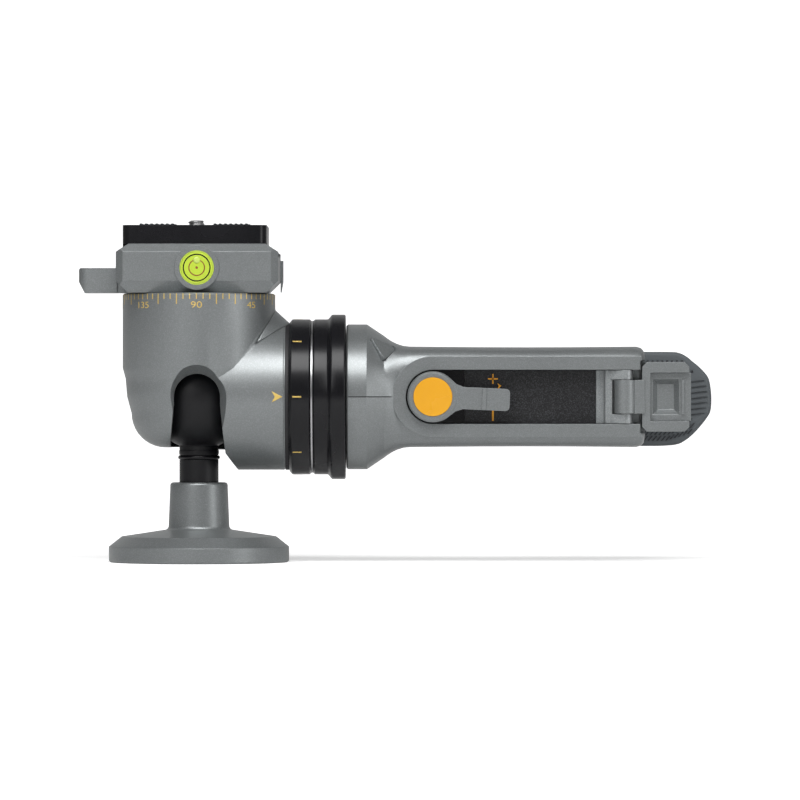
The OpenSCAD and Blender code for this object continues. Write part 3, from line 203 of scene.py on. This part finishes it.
sparkle, s_in, s_out = group("FineSparkle", [("Scale", 2600.0), ("Low", 0.55)],
                             [("Flakes", "NodeSocketFloat"), ("Shade", "NodeSocketFloat")])
s_place = add(sparkle, "ShaderNodeTexCoord")
s_cells = add(sparkle, "ShaderNodeTexVoronoi")
s_grey = add(sparkle, "ShaderNodeSeparateColor")
s_glint = add(sparkle, "ShaderNodeMapRange")
s_cloud = add(sparkle, "ShaderNodeTexNoise", Scale=38.0, Detail=4.0)
sparkle.links.new(s_place.outputs["Object"], s_cells.inputs["Vector"])
sparkle.links.new(s_place.outputs["Object"], s_cloud.inputs["Vector"])
sparkle.links.new(s_in.outputs["Scale"], s_cells.inputs["Scale"])
sparkle.links.new(s_cells.outputs["Color"], s_grey.inputs["Color"])
sparkle.links.new(s_grey.outputs["Red"], s_glint.inputs["Value"])
sparkle.links.new(s_in.outputs["Low"], s_glint.inputs["From Min"])
sparkle.links.new(s_glint.outputs["Result"], s_out.inputs["Flakes"])
sparkle.links.new(s_cloud.outputs["Fac"], s_out.inputs["Shade"])

GRAIN_DEPTH = 0.0002
grain, g_in, g_out = group("SoftGrain", [("Scale", 900.0), ("Strength", 0.15), ("Distance", GRAIN_DEPTH)],
                           [("Normal", "NodeSocketVector")])
g_place = add(grain, "ShaderNodeTexCoord")
g_noise = add(grain, "ShaderNodeTexNoise", Detail=3.0)
g_edge = add(grain, "ShaderNodeBevel", samples=4, Radius=0.0003)
g_bump = add(grain, "ShaderNodeBump")
grain.links.new(g_place.outputs["Object"], g_noise.inputs["Vector"])
grain.links.new(g_in.outputs["Scale"], g_noise.inputs["Scale"])
grain.links.new(g_in.outputs["Strength"], g_bump.inputs["Strength"])
grain.links.new(g_in.outputs["Distance"], g_bump.inputs["Distance"])
grain.links.new(g_noise.outputs["Fac"], g_bump.inputs["Height"])
grain.links.new(g_edge.outputs["Normal"], g_bump.inputs["Normal"])
grain.links.new(g_bump.outputs["Normal"], g_out.inputs["Normal"])
print("groups:", [tree.name for tree in bpy.data.node_groups])

# %% [markdown]
# ## Finishes
#
# One function lays the shared groups under a Principled shader, and each finish states only its own numbers:
# two colours that the flakes or the cloud mix, roughness at both ends, metal, grain and clear coat.

# %%
def finish(name, dark, light, rough, metal=0.0, flakes=None, grain_scale=900.0, bump=0.12, coat=0.0):
    """A procedural finish: colour and roughness vary between two ends with flakes and a soft cloud."""
    made = bpy.data.materials.new(name)
    made.use_nodes = True
    tree = made.node_tree
    tree.nodes.clear()
    out = add(tree, "ShaderNodeOutputMaterial")
    skin = add(tree, "ShaderNodeBsdfPrincipled", Metallic=metal)
    skin.inputs["Coat Weight"].default_value = coat
    glints = add(tree, "ShaderNodeGroup", node_tree=sparkle)
    glints.inputs["Scale"].default_value = flakes or 400.0
    glints.inputs["Low"].default_value = 0.5 if flakes else 0.0
    skin_grain = add(tree, "ShaderNodeGroup", node_tree=grain)
    skin_grain.inputs["Scale"].default_value = grain_scale
    skin_grain.inputs["Strength"].default_value = bump
    skin_grain.inputs["Distance"].default_value = GRAIN_DEPTH
    tint = add(tree, "ShaderNodeMix", data_type="RGBA")
    tint.inputs["A"].default_value = (*dark, 1)
    tint.inputs["B"].default_value = (*light, 1)
    gloss = add(tree, "ShaderNodeMapRange")
    for label, value in (("From Min", 0.3), ("From Max", 0.7), ("To Min", rough[0]), ("To Max", rough[1])):
        gloss.inputs[label].default_value = value
    mask = "Flakes" if flakes else "Shade"
    tree.links.new(glints.outputs[mask], tint.inputs["Factor"])
    tree.links.new(glints.outputs["Shade"], gloss.inputs["Value"])
    tree.links.new(tint.outputs["Result"], skin.inputs["Base Color"])
    tree.links.new(gloss.outputs["Result"], skin.inputs["Roughness"])
    tree.links.new(skin_grain.outputs["Normal"], skin.inputs["Normal"])
    tree.links.new(skin.outputs["BSDF"], out.inputs["Surface"])
    return made


paint = finish("grey_paint", (0.195, 0.207, 0.210), (0.255, 0.270, 0.273), (0.34, 0.42), 0.6, 5200.0,
               3600.0, 0.05)
pale_paint = finish("bracket_paint", (0.26, 0.275, 0.28), (0.36, 0.38, 0.385), (0.35, 0.45), 0.7, 4200.0,
                    3000.0, 0.08)
anodised = finish("black_anodised", (0.004, 0.004, 0.005), (0.008, 0.008, 0.010), (0.22, 0.30), 0.1, None,
                  1500.0, 0.04)
gloss_black = finish("gloss_black", (0.003, 0.003, 0.004), (0.006, 0.006, 0.008), (0.22, 0.30), 0.0, None,
                     600.0, 0.03)
satin_black = finish("satin_black", (0.003, 0.003, 0.004), (0.007, 0.007, 0.009), (0.38, 0.46), 0.0, None,
                     900.0, 0.04)
bed_black = finish("lever_bed_black", (0.003, 0.003, 0.004), (0.006, 0.006, 0.008), (0.10, 0.16), 0.0, None,
                   600.0, 0.03, coat=0.5)
panel = finish("black_panel", (0.004, 0.004, 0.005), (0.035, 0.036, 0.040), (0.35, 0.45), 0.2, 3600.0,
               2600.0, 0.15)
rubber = finish("rubber", (0.060, 0.068, 0.074), (0.078, 0.088, 0.095), (0.6, 0.75), 0.0, None, 1600.0, 0.2)
dark_rubber = finish("dark_rubber", (0.012, 0.014, 0.017), (0.020, 0.023, 0.028), (0.6, 0.75), 0.0, None,
                     1600.0, 0.2)
steel = finish("steel", (0.38, 0.38, 0.39), (0.62, 0.62, 0.62), (0.2, 0.36), 1.0, None, 1200.0, 0.05)
bright = finish("bright_ring", (0.38, 0.38, 0.39), (0.46, 0.46, 0.47), (0.26, 0.34), 1.0, None, 1200.0, 0.03)
spring_wire = finish("spring_wire", (0.3, 0.3, 0.31), (0.5, 0.5, 0.5), (0.25, 0.4), 1.0)
brass = finish("brass", (0.55, 0.40, 0.14), (0.70, 0.54, 0.22), (0.25, 0.4), 1.0)
acetal = finish("acetal", (0.66, 0.65, 0.60), (0.78, 0.77, 0.72), (0.35, 0.5))
yellow = finish("yellow_enamel", (0.66, 0.30, 0.006), (0.74, 0.36, 0.012), (0.22, 0.32), 0.0, None, 300.0,
                0.03, coat=0.5)
gold_ink = finish("gold_ink", (0.62, 0.43, 0.10), (0.74, 0.54, 0.16), (0.35, 0.5), 0.4)
orange_ink = finish("orange_ink", (0.82, 0.34, 0.02), (0.92, 0.42, 0.03), (0.4, 0.5))
lime = finish("vial_green", (0.40, 0.54, 0.05), (0.48, 0.62, 0.08), (0.2, 0.3), 0.0, None, 300.0, 0.03)
brown_ink = finish("vial_ring_ink", (0.20, 0.05, 0.01), (0.28, 0.08, 0.02), (0.4, 0.5))
# seam_shadow is painted shade: a near-black finish laid where a gap or groove between parts lies dark in shade.
painted_gap_shade = finish("seam_shadow", (0.008, 0.008, 0.009), (0.014, 0.014, 0.016), (0.6, 0.7))
BLACK_SHINE = 0.3
for look in (anodised, gloss_black, satin_black, bed_black):
    look.node_tree.nodes["Principled BSDF"].inputs["Specular IOR Level"].default_value = BLACK_SHINE
clear = finish("vial_clear", (0.42, 0.56, 0.04), (0.50, 0.64, 0.07), (0.04, 0.08), 0.0, None, 200.0, 0.02,
               coat=0.4)
bubble_skin = finish("vial_bubble", (0.46, 0.60, 0.10), (0.54, 0.66, 0.14), (0.04, 0.08), 0.0, None, 200.0,
                     0.02)
print("finishes:", len(bpy.data.materials))

# %% [markdown]
# ## Dressing the solids
#
# Each solid keeps its shape. Its points are welded and its sharp edges split, so that the round faces shade
# smoothly while the turned steps stay crisp.

# %%
DRESS = {
    paint: "base_plate head_housing clamp_body moving_jaw clamp_lever handle_shell_upper handle_shell_lower "
           "latch_frame latch_tray friction_lever lock_button",
    pale_paint: "hinge_bracket",
    anodised: "index_ring turn_collar handle_hub quick_plate trigger_lever",
    gloss_black: "stem_ring",
    satin_black: "ball_stem",
    panel: "front_panel",
    bed_black: "lever_bed",
    dark_rubber: "plate_pads",
    rubber: "trigger_grip",
    steel: "stem_grub_screw spring_plug neck_nut click_ring pull_rod rod_washer rod_nut pan_bolt click_ball "
           "jaw_guide_pins lever_pivot_pin camera_screw screw_clip shell_screws trigger_pin latch_pin "
           "friction_spindle",
    spring_wire: "brake_spring button_spring",
    bright: "spacer_ring",
    brass: "tripod_thread_bush",
    yellow: "lever_cap",
    lime: "level_cup",
    clear: "level_lens",
    acetal: "ball_cup side_seat brake_shoe pan_washer",
}
CRISP_ANGLE = math.radians(24)
for look, names in DRESS.items():
    for name in names.split():
        solid = nodes[name]
        solid.data.materials.clear()
        solid.data.materials.append(look)
        solid.data.polygons.foreach_set("use_smooth", np.ones(len(solid.data.polygons), bool))
        weld = solid.modifiers.new("weld", "WELD")
        weld.merge_threshold = 1e-6
        split = solid.modifiers.new("crisp_edges", "EDGE_SPLIT")
        split.split_angle = CRISP_ANGLE
print("undressed:", [name for name, solid in nodes.items() if not solid.data.materials])


def settle(piece, look, body):
    """Gives an added piece its finish, its body and the slot that a repaint would use."""
    piece.data.materials.clear()
    piece.data.materials.append(look)
    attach(piece, body)
    return piece

# %% [markdown]
# ## The soft fillet of the casting
#
# Where the upright cylinder (radius R) meets the lying barrel (radius B), the casting has a rolling-ball
# fillet. The ball of radius q touches both, and its centre is at
# c(y) = (sqrt((R+q)^2 - y^2), y, sqrt((B+q)^2 - y^2)). The arc between its two touching points is the skin, and
# q fades to almost nothing at both ends.

# %%
R, B = 29.1, 27.8
REACH, WIDEST, NARROWEST, SINK = 26.2, 6.4, 0.12, 0.6
FILLET_CRISP = math.radians(28)
y = np.linspace(-26.0, 26.0, 61)[:, None]
q = NARROWEST + WIDEST * (1 - (y / REACH) ** 2)
centre = np.concatenate([np.sqrt((R + q) ** 2 - y ** 2), y, np.sqrt((B + q) ** 2 - y ** 2)], 1)
on_post = np.concatenate([centre[:, :2] * R / (R + q), centre[:, 2:]], 1) - centre
on_barrel = np.concatenate([centre[:, :1], centre[:, 1:] * B / (B + q)], 1) - centre
t = np.linspace(0, 1, 13)[None, :, None]
angle = np.arccos(np.clip(np.sum(on_post * on_barrel, 1, keepdims=True) / q ** 2, -1, 1))[:, None, :]
arc = (np.sin((1 - t) * angle) * on_post[:, None] + np.sin(t * angle) * on_barrel[:, None]) / np.sin(angle)
skin = centre[:, None] + arc
inner = np.stack([on_barrel + centre - [0.0, 0.0, SINK], on_post + centre - [SINK, 0.0, SINK]], 1)
section = np.concatenate([skin, inner], 1) + [0.0, 0.0, BALL_Z]
fillet = settle(outward(sweep("casting_fillet", section)), paint, "housing")
crisp = fillet.modifiers.new("crisp_edges", "EDGE_SPLIT")
crisp.split_angle = FILLET_CRISP
print("fillet points:", section.shape)

# %% [markdown]
# ## Engraved scales
#
# The pan scale has a tick every five degrees, a longer one every fifteen where no number stands, and a number
# at each eighth of a turn.
# Numbers are made flat and then laid round the cylinder: x becomes an arc, x / R radians from the front.
# A black ring at the barrel's end is painted shade: it darkens the groove beside the index ring, where shade
# falls.

# %%
TICK_TOP, SHORT_END, LONG_END, TICK_HALF = 102.0, 99.9, 98.0, 0.2
short, long = [], []
for degree in range(0, 360, 5):
    u = math.radians(degree) * R
    is_long = degree % 15 == 0 and degree % 45 != 0
    low = LONG_END if is_long else SHORT_END
    (long if is_long else short).append(rectangle(u - TICK_HALF, u + TICK_HALF, low, TICK_TOP))
settle(marks("pan_scale_ticks", short + long, round_upright(R, 0.0), -0.05, 0.03), gold_ink, "housing")
FIGURE_H, FIGURE_Z, FIGURE_WIDEN, CAP_SHARE = 2.5, 97.6, 1.3, 0.72


def number(name, text, tall, wrap):
    """A number as raised figures, tall millimetres high, centred on the wrap's origin."""
    curve = bpy.data.curves.new(name + "_flat", "FONT")
    curve.body = text
    curve.size = tall / CAP_SHARE
    curve.extrude = 0.04
    curve.align_x = "CENTER"
    curve.align_y = "CENTER"
    flat = bpy.data.objects.new(name + "_flat", curve)
    scene.collection.objects.link(flat)
    bpy.context.view_layer.update()
    mesh = bpy.data.meshes.new_from_object(flat.evaluated_get(bpy.context.evaluated_depsgraph_get()))
    P = np.empty(len(mesh.vertices) * 3)
    mesh.vertices.foreach_get("co", P)
    u, v, h = (P.reshape(-1, 3) * [FIGURE_WIDEN, 1.0, 1.0]).T
    mesh.vertices.foreach_set("co", (wrap(u, v, h) * MM).ravel())
    mesh.update()
    bpy.data.objects.remove(flat)
    made = bpy.data.objects.new(name, mesh)
    scene.collection.objects.link(made)
    return made


for label, turn in zip(("90", "45", "0", "315", "270", "225", "180", "135"), range(0, 360, 45)):
    figure = number("pan_figure_" + label, label, FIGURE_H, round_upright(R, FIGURE_Z, turn))
    settle(figure, gold_ink, "housing")

INDEX_R, INDEX_X, MARK_LEN, MARK_HALF = 29.6, 36.1, 3.4, 0.28
eighths = math.radians(45) * INDEX_R * np.arange(8)
ring_marks = [rectangle(0.0, MARK_LEN, v - MARK_HALF, v + MARK_HALF) for v in eighths]
settle(marks("index_marks", ring_marks, round_lying(INDEX_R, INDEX_X)), gold_ink, "handle")
arrow = [(4.1, 0.0), (0.0, 2.1), (1.2, 0.0), (0.0, -2.1)]
settle(marks("index_arrow", [arrow], round_lying(B, 28.3), -0.1, 0.04), gold_ink, "housing")
# This ring is painted shade: a near-black band, 0.06 mm proud of the barrel, where the gap before the index
# ring lies in shade.
a = np.linspace(0, 2 * math.pi, 144, endpoint=False)[:, None]
band_x = np.array([33.2, 34.6, 34.6, 33.2])[None]
band_r = np.array([27.86, 27.86, 27.2, 27.2])[None]
gap_shade_band = np.stack([band_x + 0 * a, band_r * np.cos(a), BALL_Z + band_r * np.sin(a)], -1)
settle(outward(sweep("index_gap_shade", gap_shade_band, smooth=False, loop=True)), painted_gap_shade, "housing")
print("scale marks:", len(short), "short,", len(long), "long")

# %% [markdown]
# ## Plus and minus beside the friction lever
#
# The painted signs lie on the panel's face. Their strokes are 0.6 to 0.7 mm wide.

# %%
panel_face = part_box("front_panel")[0].y / MM
plus = [rectangle(-1.9, 1.9, -0.3, 0.3), rectangle(-0.3, 0.3, -1.9, 1.9)]
head = [(0.0, -1.3), (1.5, 0.2), (0.0, 1.2), (0.5, 0.1)]
settle(marks("plus_sign", plus, facing(panel_face, 111.9, 69.8)), orange_ink, "handle")
settle(marks("turn_arrow", [head], facing(panel_face, 113.6, 67.0)), orange_ink, "handle")
minus = [rectangle(-0.35, 0.35, -2.1, 2.1)]
settle(marks("minus_sign", minus, facing(panel_face, 111.9, 56.0)), orange_ink, "handle")
print("panel face at y =", round(panel_face, 2))

# %% [markdown]
# ## The bull's-eye level
#
# A glossy disc stands for the lens over the green liquid. On it are a dark rim, a printed circle, a centre dot
# and the bubble, which is a flattened half sphere near the top: (a cos f cos e, -b sin e, a sin f cos e).

# %%
LEVEL_Z, LEVEL_Y = 111.75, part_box("level_lens")[0].y / MM


def ring(name, r0, r1, thick, y, z, fn=72):
    """A flat ring facing -Y: its section is a small rectangle turned about the level's axis."""
    a = np.linspace(0, 2 * math.pi, fn, endpoint=False)[:, None]
    r = np.array([r0, r1, r1, r0])[None]
    depth = np.array([0, 0, thick, thick])[None]
    P = np.stack([r * np.cos(a), y - depth + 0 * a, z + r * np.sin(a)], -1)
    return outward(sweep(name, P, smooth=False, loop=True))


settle(ring("level_rim", 4.8, 5.25, 0.1, LEVEL_Y + 0.05, LEVEL_Z), gloss_black, "clamp")
settle(ring("level_circle", 2.75, 3.15, 0.05, LEVEL_Y + 0.01, LEVEL_Z), brown_ink, "clamp")
settle(ring("level_dot", 0.05, 0.5, 0.05, LEVEL_Y + 0.01, LEVEL_Z, 24), brown_ink, "clamp")
BUBBLE_R, BUBBLE_PROUD, BUBBLE_UP = 1.3, 0.4, 2.9
e = np.linspace(0.02, math.pi / 2 - 0.02, 10)[:, None]
f = np.linspace(0, 2 * math.pi, 36, endpoint=False)[None]
dome = np.stack([BUBBLE_R * np.cos(f) * np.cos(e), LEVEL_Y - BUBBLE_PROUD * np.sin(e) + 0 * f,
                 LEVEL_Z + BUBBLE_UP + BUBBLE_R * np.sin(f) * np.cos(e)], -1)
settle(outward(sweep("level_bubble", dome)), bubble_skin, "clamp")
print("level at y =", round(LEVEL_Y, 2))

# %% [markdown]
# ## The camera screw's thread
#
# A quarter-inch screw has twenty threads to the inch, so its pitch is 1.27 mm. The radius follows a triangle
# wave of height and angle: r = R - depth * |2 frac(z / pitch - a / 2 pi) - 1|. Shank and head are plain.

# %%
low_corner, high_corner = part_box("camera_screw")
screw_low, screw_high = low_corner.z / MM, high_corner.z / MM
SCREW_X = (low_corner.x + high_corner.x) / 2 / MM
PITCH, THREAD_R, THREAD_DEPTH, THREAD_LEN = 1.27, 3.175, 0.6, 3.2
a = np.linspace(0, 2 * math.pi, 96, endpoint=False)[None]
z = np.linspace(screw_high - THREAD_LEN, screw_high, 49)[:, None]
wave = np.abs(2 * np.mod(z / PITCH - a / (2 * math.pi), 1.0) - 1)
tip = np.clip((screw_high - z) / 0.5, 0, 1)
r = (THREAD_R - THREAD_DEPTH * wave) * (0.84 + 0.16 * tip)
thread = sweep("camera_screw_thread", np.stack([SCREW_X + r * np.cos(a), r * np.sin(a), z + 0 * a], -1))
HEAD_R, HEAD_H, SHANK_R, SHANK_END = 8.0, 2.6, 2.9, 3.0
foot_r = np.array([HEAD_R, HEAD_R, SHANK_R, SHANK_R])[:, None]
foot_z = np.array([screw_low, screw_low + HEAD_H, screw_low + HEAD_H, screw_high - SHANK_END])[:, None]
foot_grid = np.stack([SCREW_X + foot_r * np.cos(a), foot_r * np.sin(a), foot_z + 0 * a], -1)
foot = sweep("camera_screw_foot", foot_grid, smooth=False)
for piece in (thread, foot):
    settle(outward(piece), steel, "screw")
    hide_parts("camera_screw")
print("thread from", round(screw_high - THREAD_LEN, 2), "to", round(screw_high, 2))

# %% [markdown]
# ## The rubber pad of the squeeze lever
#
# Seen from the front the pad's end is a blunt nose. Its outline comes from a few measured points, joined by a
# closed Catmull-Rom curve. Each layer of depth shrinks that outline towards a spine on the grip's axis:
# p' = c + (p - c)(1 - inset / |p - c|), where c is the nearest point of the spine. The points were measured
# with the lever at rest, so the nose moves out by the 1.6 mm that the five degrees take off its reach.

# %%
PIVOT = np.array([77.0, -8.0])
OPEN = math.radians(5.0)
PAD_Y = 5.8
PAD_DEPTH, FRONT_SOFT, BACK_SOFT, NOSE_OUT, SPINE_Z = 16.0, 1.6, 6.0, 1.6, -0.7


def opened(P):
    """Turns points from the lever's closed stand to its rest, five degrees about the pivot."""
    x, y = P[..., 0] - PIVOT[0], P[..., 1] - PIVOT[1]
    return np.stack([PIVOT[0] + x * math.cos(OPEN) - y * math.sin(OPEN),
                     PIVOT[1] + x * math.sin(OPEN) + y * math.cos(OPEN), P[..., 2]], -1)


control = np.array([
    (99.2, 16.4), (98.0, 14.0), (98.0, 6.0), (98.0, -6.0), (98.0, -14.6), (99.2, -18.0),
    (103.0, -18.9), (120, -18.9), (140, -18.9), (160, -18.9), (172.0, -18.9), (178.5, -18.8),
    (183.3, -18.3), (186.2, -17.0), (189.2, -14.7), (192.0, -11.8), (195.0, -8.0), (196.4, -5.1),
    (196.7, 0.0), (196.1, 5.3), (195.0, 8.2), (192.0, 11.5), (189.2, 13.8), (187.1, 15.5),
    (184.2, 16.9), (180.0, 17.3), (165, 17.3), (140, 17.3), (120, 17.3), (103.0, 17.3)])
control[:, 0] += NOSE_OUT * (control[:, 0] > 171.0)
ahead, after, back = np.roll(control, -1, 0), np.roll(control, -2, 0), np.roll(control, 1, 0)
s = np.linspace(0, 1, 8, endpoint=False)[None, :, None]
cubic = 0.5 * (2 * control[:, None] + (ahead - back)[:, None] * s
               + (2 * back - 5 * control + 4 * ahead - after)[:, None] * s ** 2
               + (3 * control - back - 3 * ahead + after)[:, None] * s ** 3)
outline = cubic.reshape(-1, 2)
spine = np.stack([np.clip(outline[:, 0], 112.0, 180.0), np.full(len(outline), SPINE_Z)], -1)
reach = np.linalg.norm(outline - spine, axis=1, keepdims=True)
bend = np.radians(np.linspace(0, 90, 9))
front = np.stack([FRONT_SOFT * (1 - np.sin(bend)), FRONT_SOFT * (1 - np.cos(bend))], -1)
rear = np.stack([BACK_SOFT * (1 - np.cos(bend)), PAD_DEPTH - BACK_SOFT + BACK_SOFT * np.sin(bend)], -1)
layers = np.concatenate([[[10.0, 0.0], [3.0, 0.0]], front, rear, [[9.0, 16.15], [12.0, 16.2]]])
inset, depth = layers[:, 0][:, None, None], layers[:, 1][:, None, None]
flat = spine + (outline - spine) * (1 - np.minimum(inset / reach, 0.9))
P = np.stack([flat[..., 0], PAD_Y + depth[..., 0] + 0 * flat[..., 0], BALL_Z + flat[..., 1]], -1)
pad = settle(outward(sweep("rubber_pad", opened(P))), rubber, "trigger")
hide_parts("trigger_grip")
print("pad layers:", len(layers), "outline points:", len(outline))

# %% [markdown]
# Moulded studs, hatches and dashes stand about 0.4 mm proud of the pad, for a sure grip. A stud is a low dome,
# and a hatch is a slanted bar; both are one template copied to many places.

# %%
e = np.radians([0, 40, 75])[:, None]
f = np.linspace(0, 2 * math.pi, 10, endpoint=False)[None]
stud = np.stack([0.55 * np.cos(e) * np.cos(f), -0.45 * np.sin(e) + 0 * f, 0.55 * np.cos(e) * np.sin(f)], -1)
n, m = stud.shape[:2]
stud_faces = [[i * m + j, i * m + (j + 1) % m, (i + 1) * m + (j + 1) % m, (i + 1) * m + j]
              for i in range(n - 1) for j in range(m)] + [list(range(m))[::-1], list(range((n - 1) * m, n * m))]
STUD_STEP, STUD_LOW = 1.9, 9.8
gx, gz = np.meshgrid(np.arange(171.5, 192.0, STUD_STEP), np.arange(STUD_LOW, 15.8, STUD_STEP))
gx = gx + STUD_STEP / 2 * (np.round((gz - STUD_LOW) / STUD_STEP) % 2)
keep = gz + 0.7 < np.interp(gx, [171.0, 184.0, 187.0, 189.0, 192.0], [17.3, 16.9, 15.5, 13.8, 11.5]) - 1.3
top_studs = np.stack([gx[keep], np.full(keep.sum(), PAD_Y), BALL_Z + gz[keep]], -1)
bx, bz = np.meshgrid(np.arange(108.0, 190.0, 3.0), np.arange(-12.0, 11.0, 3.0))
back_studs = np.stack([bx.ravel(), np.full(bx.size, PAD_Y + 16.1), BALL_Z + bz.ravel()], -1)
template = stud.reshape(-1, 3)
studs = many("pad_front_studs", template, stud_faces, top_studs)
rear_studs = many("pad_rear_studs", template * [1.5, -1.0, 1.5], stud_faces, back_studs)
corners = ((-0.4, -2.2), (0.4, -2.2), (0.4, 2.2), (-0.4, 2.2))
bar = np.array([(x + 0.45 * z, y, z) for y in (0.05, -0.4) for x, z in corners])
bar_faces = [[0, 1, 2, 3], [7, 6, 5, 4], [0, 4, 5, 1], [1, 5, 6, 2], [2, 6, 7, 3], [3, 7, 4, 0]]
low_x, row = (part.ravel() for part in np.meshgrid(np.arange(171.0, 191.0, 1.7), np.arange(3)))
low_z = -15.9 + 2.3 * row + 0.30 * np.clip(low_x - 181.0, 0, None)
low = np.stack([low_x + 0.8 * row, 0 * low_x + PAD_Y, BALL_Z + low_z], -1)[low_x + 0.8 * row < 190.5]
hatches = many("pad_front_hatches", bar * [0.8, 1.0, 0.42], bar_faces, low, False)
dash_z = np.arange(-6.6, 7.2, 2.1)
dash = bar * [2.6, 1.0, 0.16]
dash_place = np.stack([193.0 - 0.03 * dash_z ** 2, 0 * dash_z + PAD_Y, BALL_Z + dash_z], -1)
dashes = many("pad_front_dashes", dash, bar_faces, dash_place, False)
for piece in (studs, rear_studs, hatches, dashes):
    P = np.empty(len(piece.data.vertices) * 3)
    piece.data.vertices.foreach_get("co", P)
    piece.data.vertices.foreach_set("co", (opened(P.reshape(-1, 3) / MM) * MM).ravel())
    settle(outward(piece), dark_rubber, "trigger")
print("studs:", len(top_studs) + len(back_studs), "hatches:", len(low), "dashes:", len(dash_z))

# %% [markdown]
# ## The seam of the grip's two shells
#
# The shells meet on the axis. A dark line, 0.36 mm wide, follows their front from the collar to the raised rim.
# It is painted shade, standing for the dark of the narrow gap between the shells.

# %%
ROOT_X, COLLAR_W, CONE_W, BLEND_W = 56.3, 7.8, 6.5, 10.0
ROOT_Y, CONE_Y, GRIP_Y = 27.65, 23.3, 19.44
along = np.linspace(0.7, 17.2, 60)
cone = np.clip((along - COLLAR_W) / CONE_W, 0, 1)
blend = np.clip((along - COLLAR_W - CONE_W) / BLEND_W, 0, 1)
front_y = ROOT_Y + (CONE_Y - ROOT_Y) * cone + (GRIP_Y - CONE_Y) * (1 - (1 - blend) ** 2)
# The strip is painted shade: a near-black band over the join of the shells.
section = np.array([(0.06, -0.18), (0.06, 0.18), (-0.3, 0.18), (-0.3, -0.18)])
line = np.stack([np.repeat(ROOT_X + along[:, None], 4, 1), -front_y[:, None] - section[None, :, 0],
                 BALL_Z + section[None, :, 1] + 0 * along[:, None]], -1)
settle(outward(sweep("shell_seam_shade", line, smooth=False)), painted_gap_shade, "handle")
print("seam length:", round(float(along[-1] - along[0]), 1))

# %% [markdown]
# ## Studio
#
# A pale floor and a white backdrop, which a camera sees pure white away from the object, one large soft light
# above, one at the front left, and a weak one low at the right.

# %%
def stage_plane(name, corners):
    """A flat four-sided stage piece."""
    return mesh_object(name, np.array(corners) / MM, [[0, 1, 2, 3]], smooth=False)


floor = stage_plane("floor", [(-4, -3.2, 0), (4, -3.2, 0), (4, 3, 0), (-4, 3, 0)])
backdrop = stage_plane("backdrop", [(-4, 3, 0), (4, 3, 0), (4, 3, 4), (-4, 3, 4)])
MIRROR_SHARE = 0.25


def pale(name, near, base):
    """A pale surface that a camera sees whiten, from `near` beside the object to 1 further away."""
    made = bpy.data.materials.new(name)
    made.use_nodes = True
    tree = made.node_tree
    skin = tree.nodes["Principled BSDF"]
    skin.inputs["Base Color"].default_value = (base, base, base, 1)
    skin.inputs["Roughness"].default_value = 0.9
    skin.inputs["Emission Color"].default_value = (1, 1, 1, 1)
    place = add(tree, "ShaderNodeNewGeometry")
    away = add(tree, "ShaderNodeVectorMath", operation="LENGTH")
    rise = add(tree, "ShaderNodeMapRange", interpolation_type="SMOOTHSTEP")
    for label, value in (("From Min", 0.12), ("From Max", 0.6), ("To Min", near), ("To Max", 1.0)):
        rise.inputs[label].default_value = value
    path = add(tree, "ShaderNodeLightPath")
    mirror = add(tree, "ShaderNodeMath", operation="MULTIPLY")
    mirror.inputs[1].default_value = MIRROR_SHARE
    seen = add(tree, "ShaderNodeMath", operation="MAXIMUM")
    every = add(tree, "ShaderNodeMath", operation="MAXIMUM")
    level = add(tree, "ShaderNodeMath", operation="MULTIPLY")
    tree.links.new(place.outputs["Position"], away.inputs[0])
    tree.links.new(away.outputs["Value"], rise.inputs["Value"])
    tree.links.new(path.outputs["Is Glossy Ray"], mirror.inputs[0])
    tree.links.new(path.outputs["Is Camera Ray"], seen.inputs[0])
    tree.links.new(mirror.outputs[0], seen.inputs[1])
    tree.links.new(seen.outputs[0], every.inputs[0])
    tree.links.new(path.outputs["Is Transmission Ray"], every.inputs[1])
    tree.links.new(every.outputs[0], level.inputs[0])
    tree.links.new(rise.outputs["Result"], level.inputs[1])
    tree.links.new(level.outputs[0], skin.inputs["Emission Strength"])
    return made


floor.data.materials.append(pale("floor_paper", 0.5, 0.8))
backdrop.data.materials.append(pale("backdrop_paper", 1.0, 0.8))


def softbox(name, place, target, wide, high, power):
    """A rectangular area light at place that looks at target."""
    lamp = bpy.data.lights.new(name, "AREA")
    lamp.shape = "RECTANGLE"
    lamp.size, lamp.size_y, lamp.energy = wide, high, power
    made = bpy.data.objects.new(name, lamp)
    made.location = place
    away = np.array(place) - np.array(target)
    made.rotation_euler = (math.acos(away[2] / np.linalg.norm(away)), 0, math.atan2(away[0], -away[1]))
    scene.collection.objects.link(made)


MIDDLE = (0.07, 0, 0.06)
softbox("top_light", (0.05, -0.8, 1.15), MIDDLE, 1.2, 0.7, 20.0)
softbox("front_light", (-0.7, -1.4, 0.8), MIDDLE, 0.8, 0.8, 5.5)
softbox("right_light", (1.2, -0.7, 0.4), MIDDLE, 0.5, 0.9, 4.0)
world = bpy.data.worlds.new("room")
world.use_nodes = True
world.node_tree.nodes["Background"].inputs["Color"].default_value = (1, 1, 1, 1)
world.node_tree.nodes["Background"].inputs["Strength"].default_value = 0.14
scene.world = world
print("lights:", [lamp.name for lamp in bpy.data.lights])
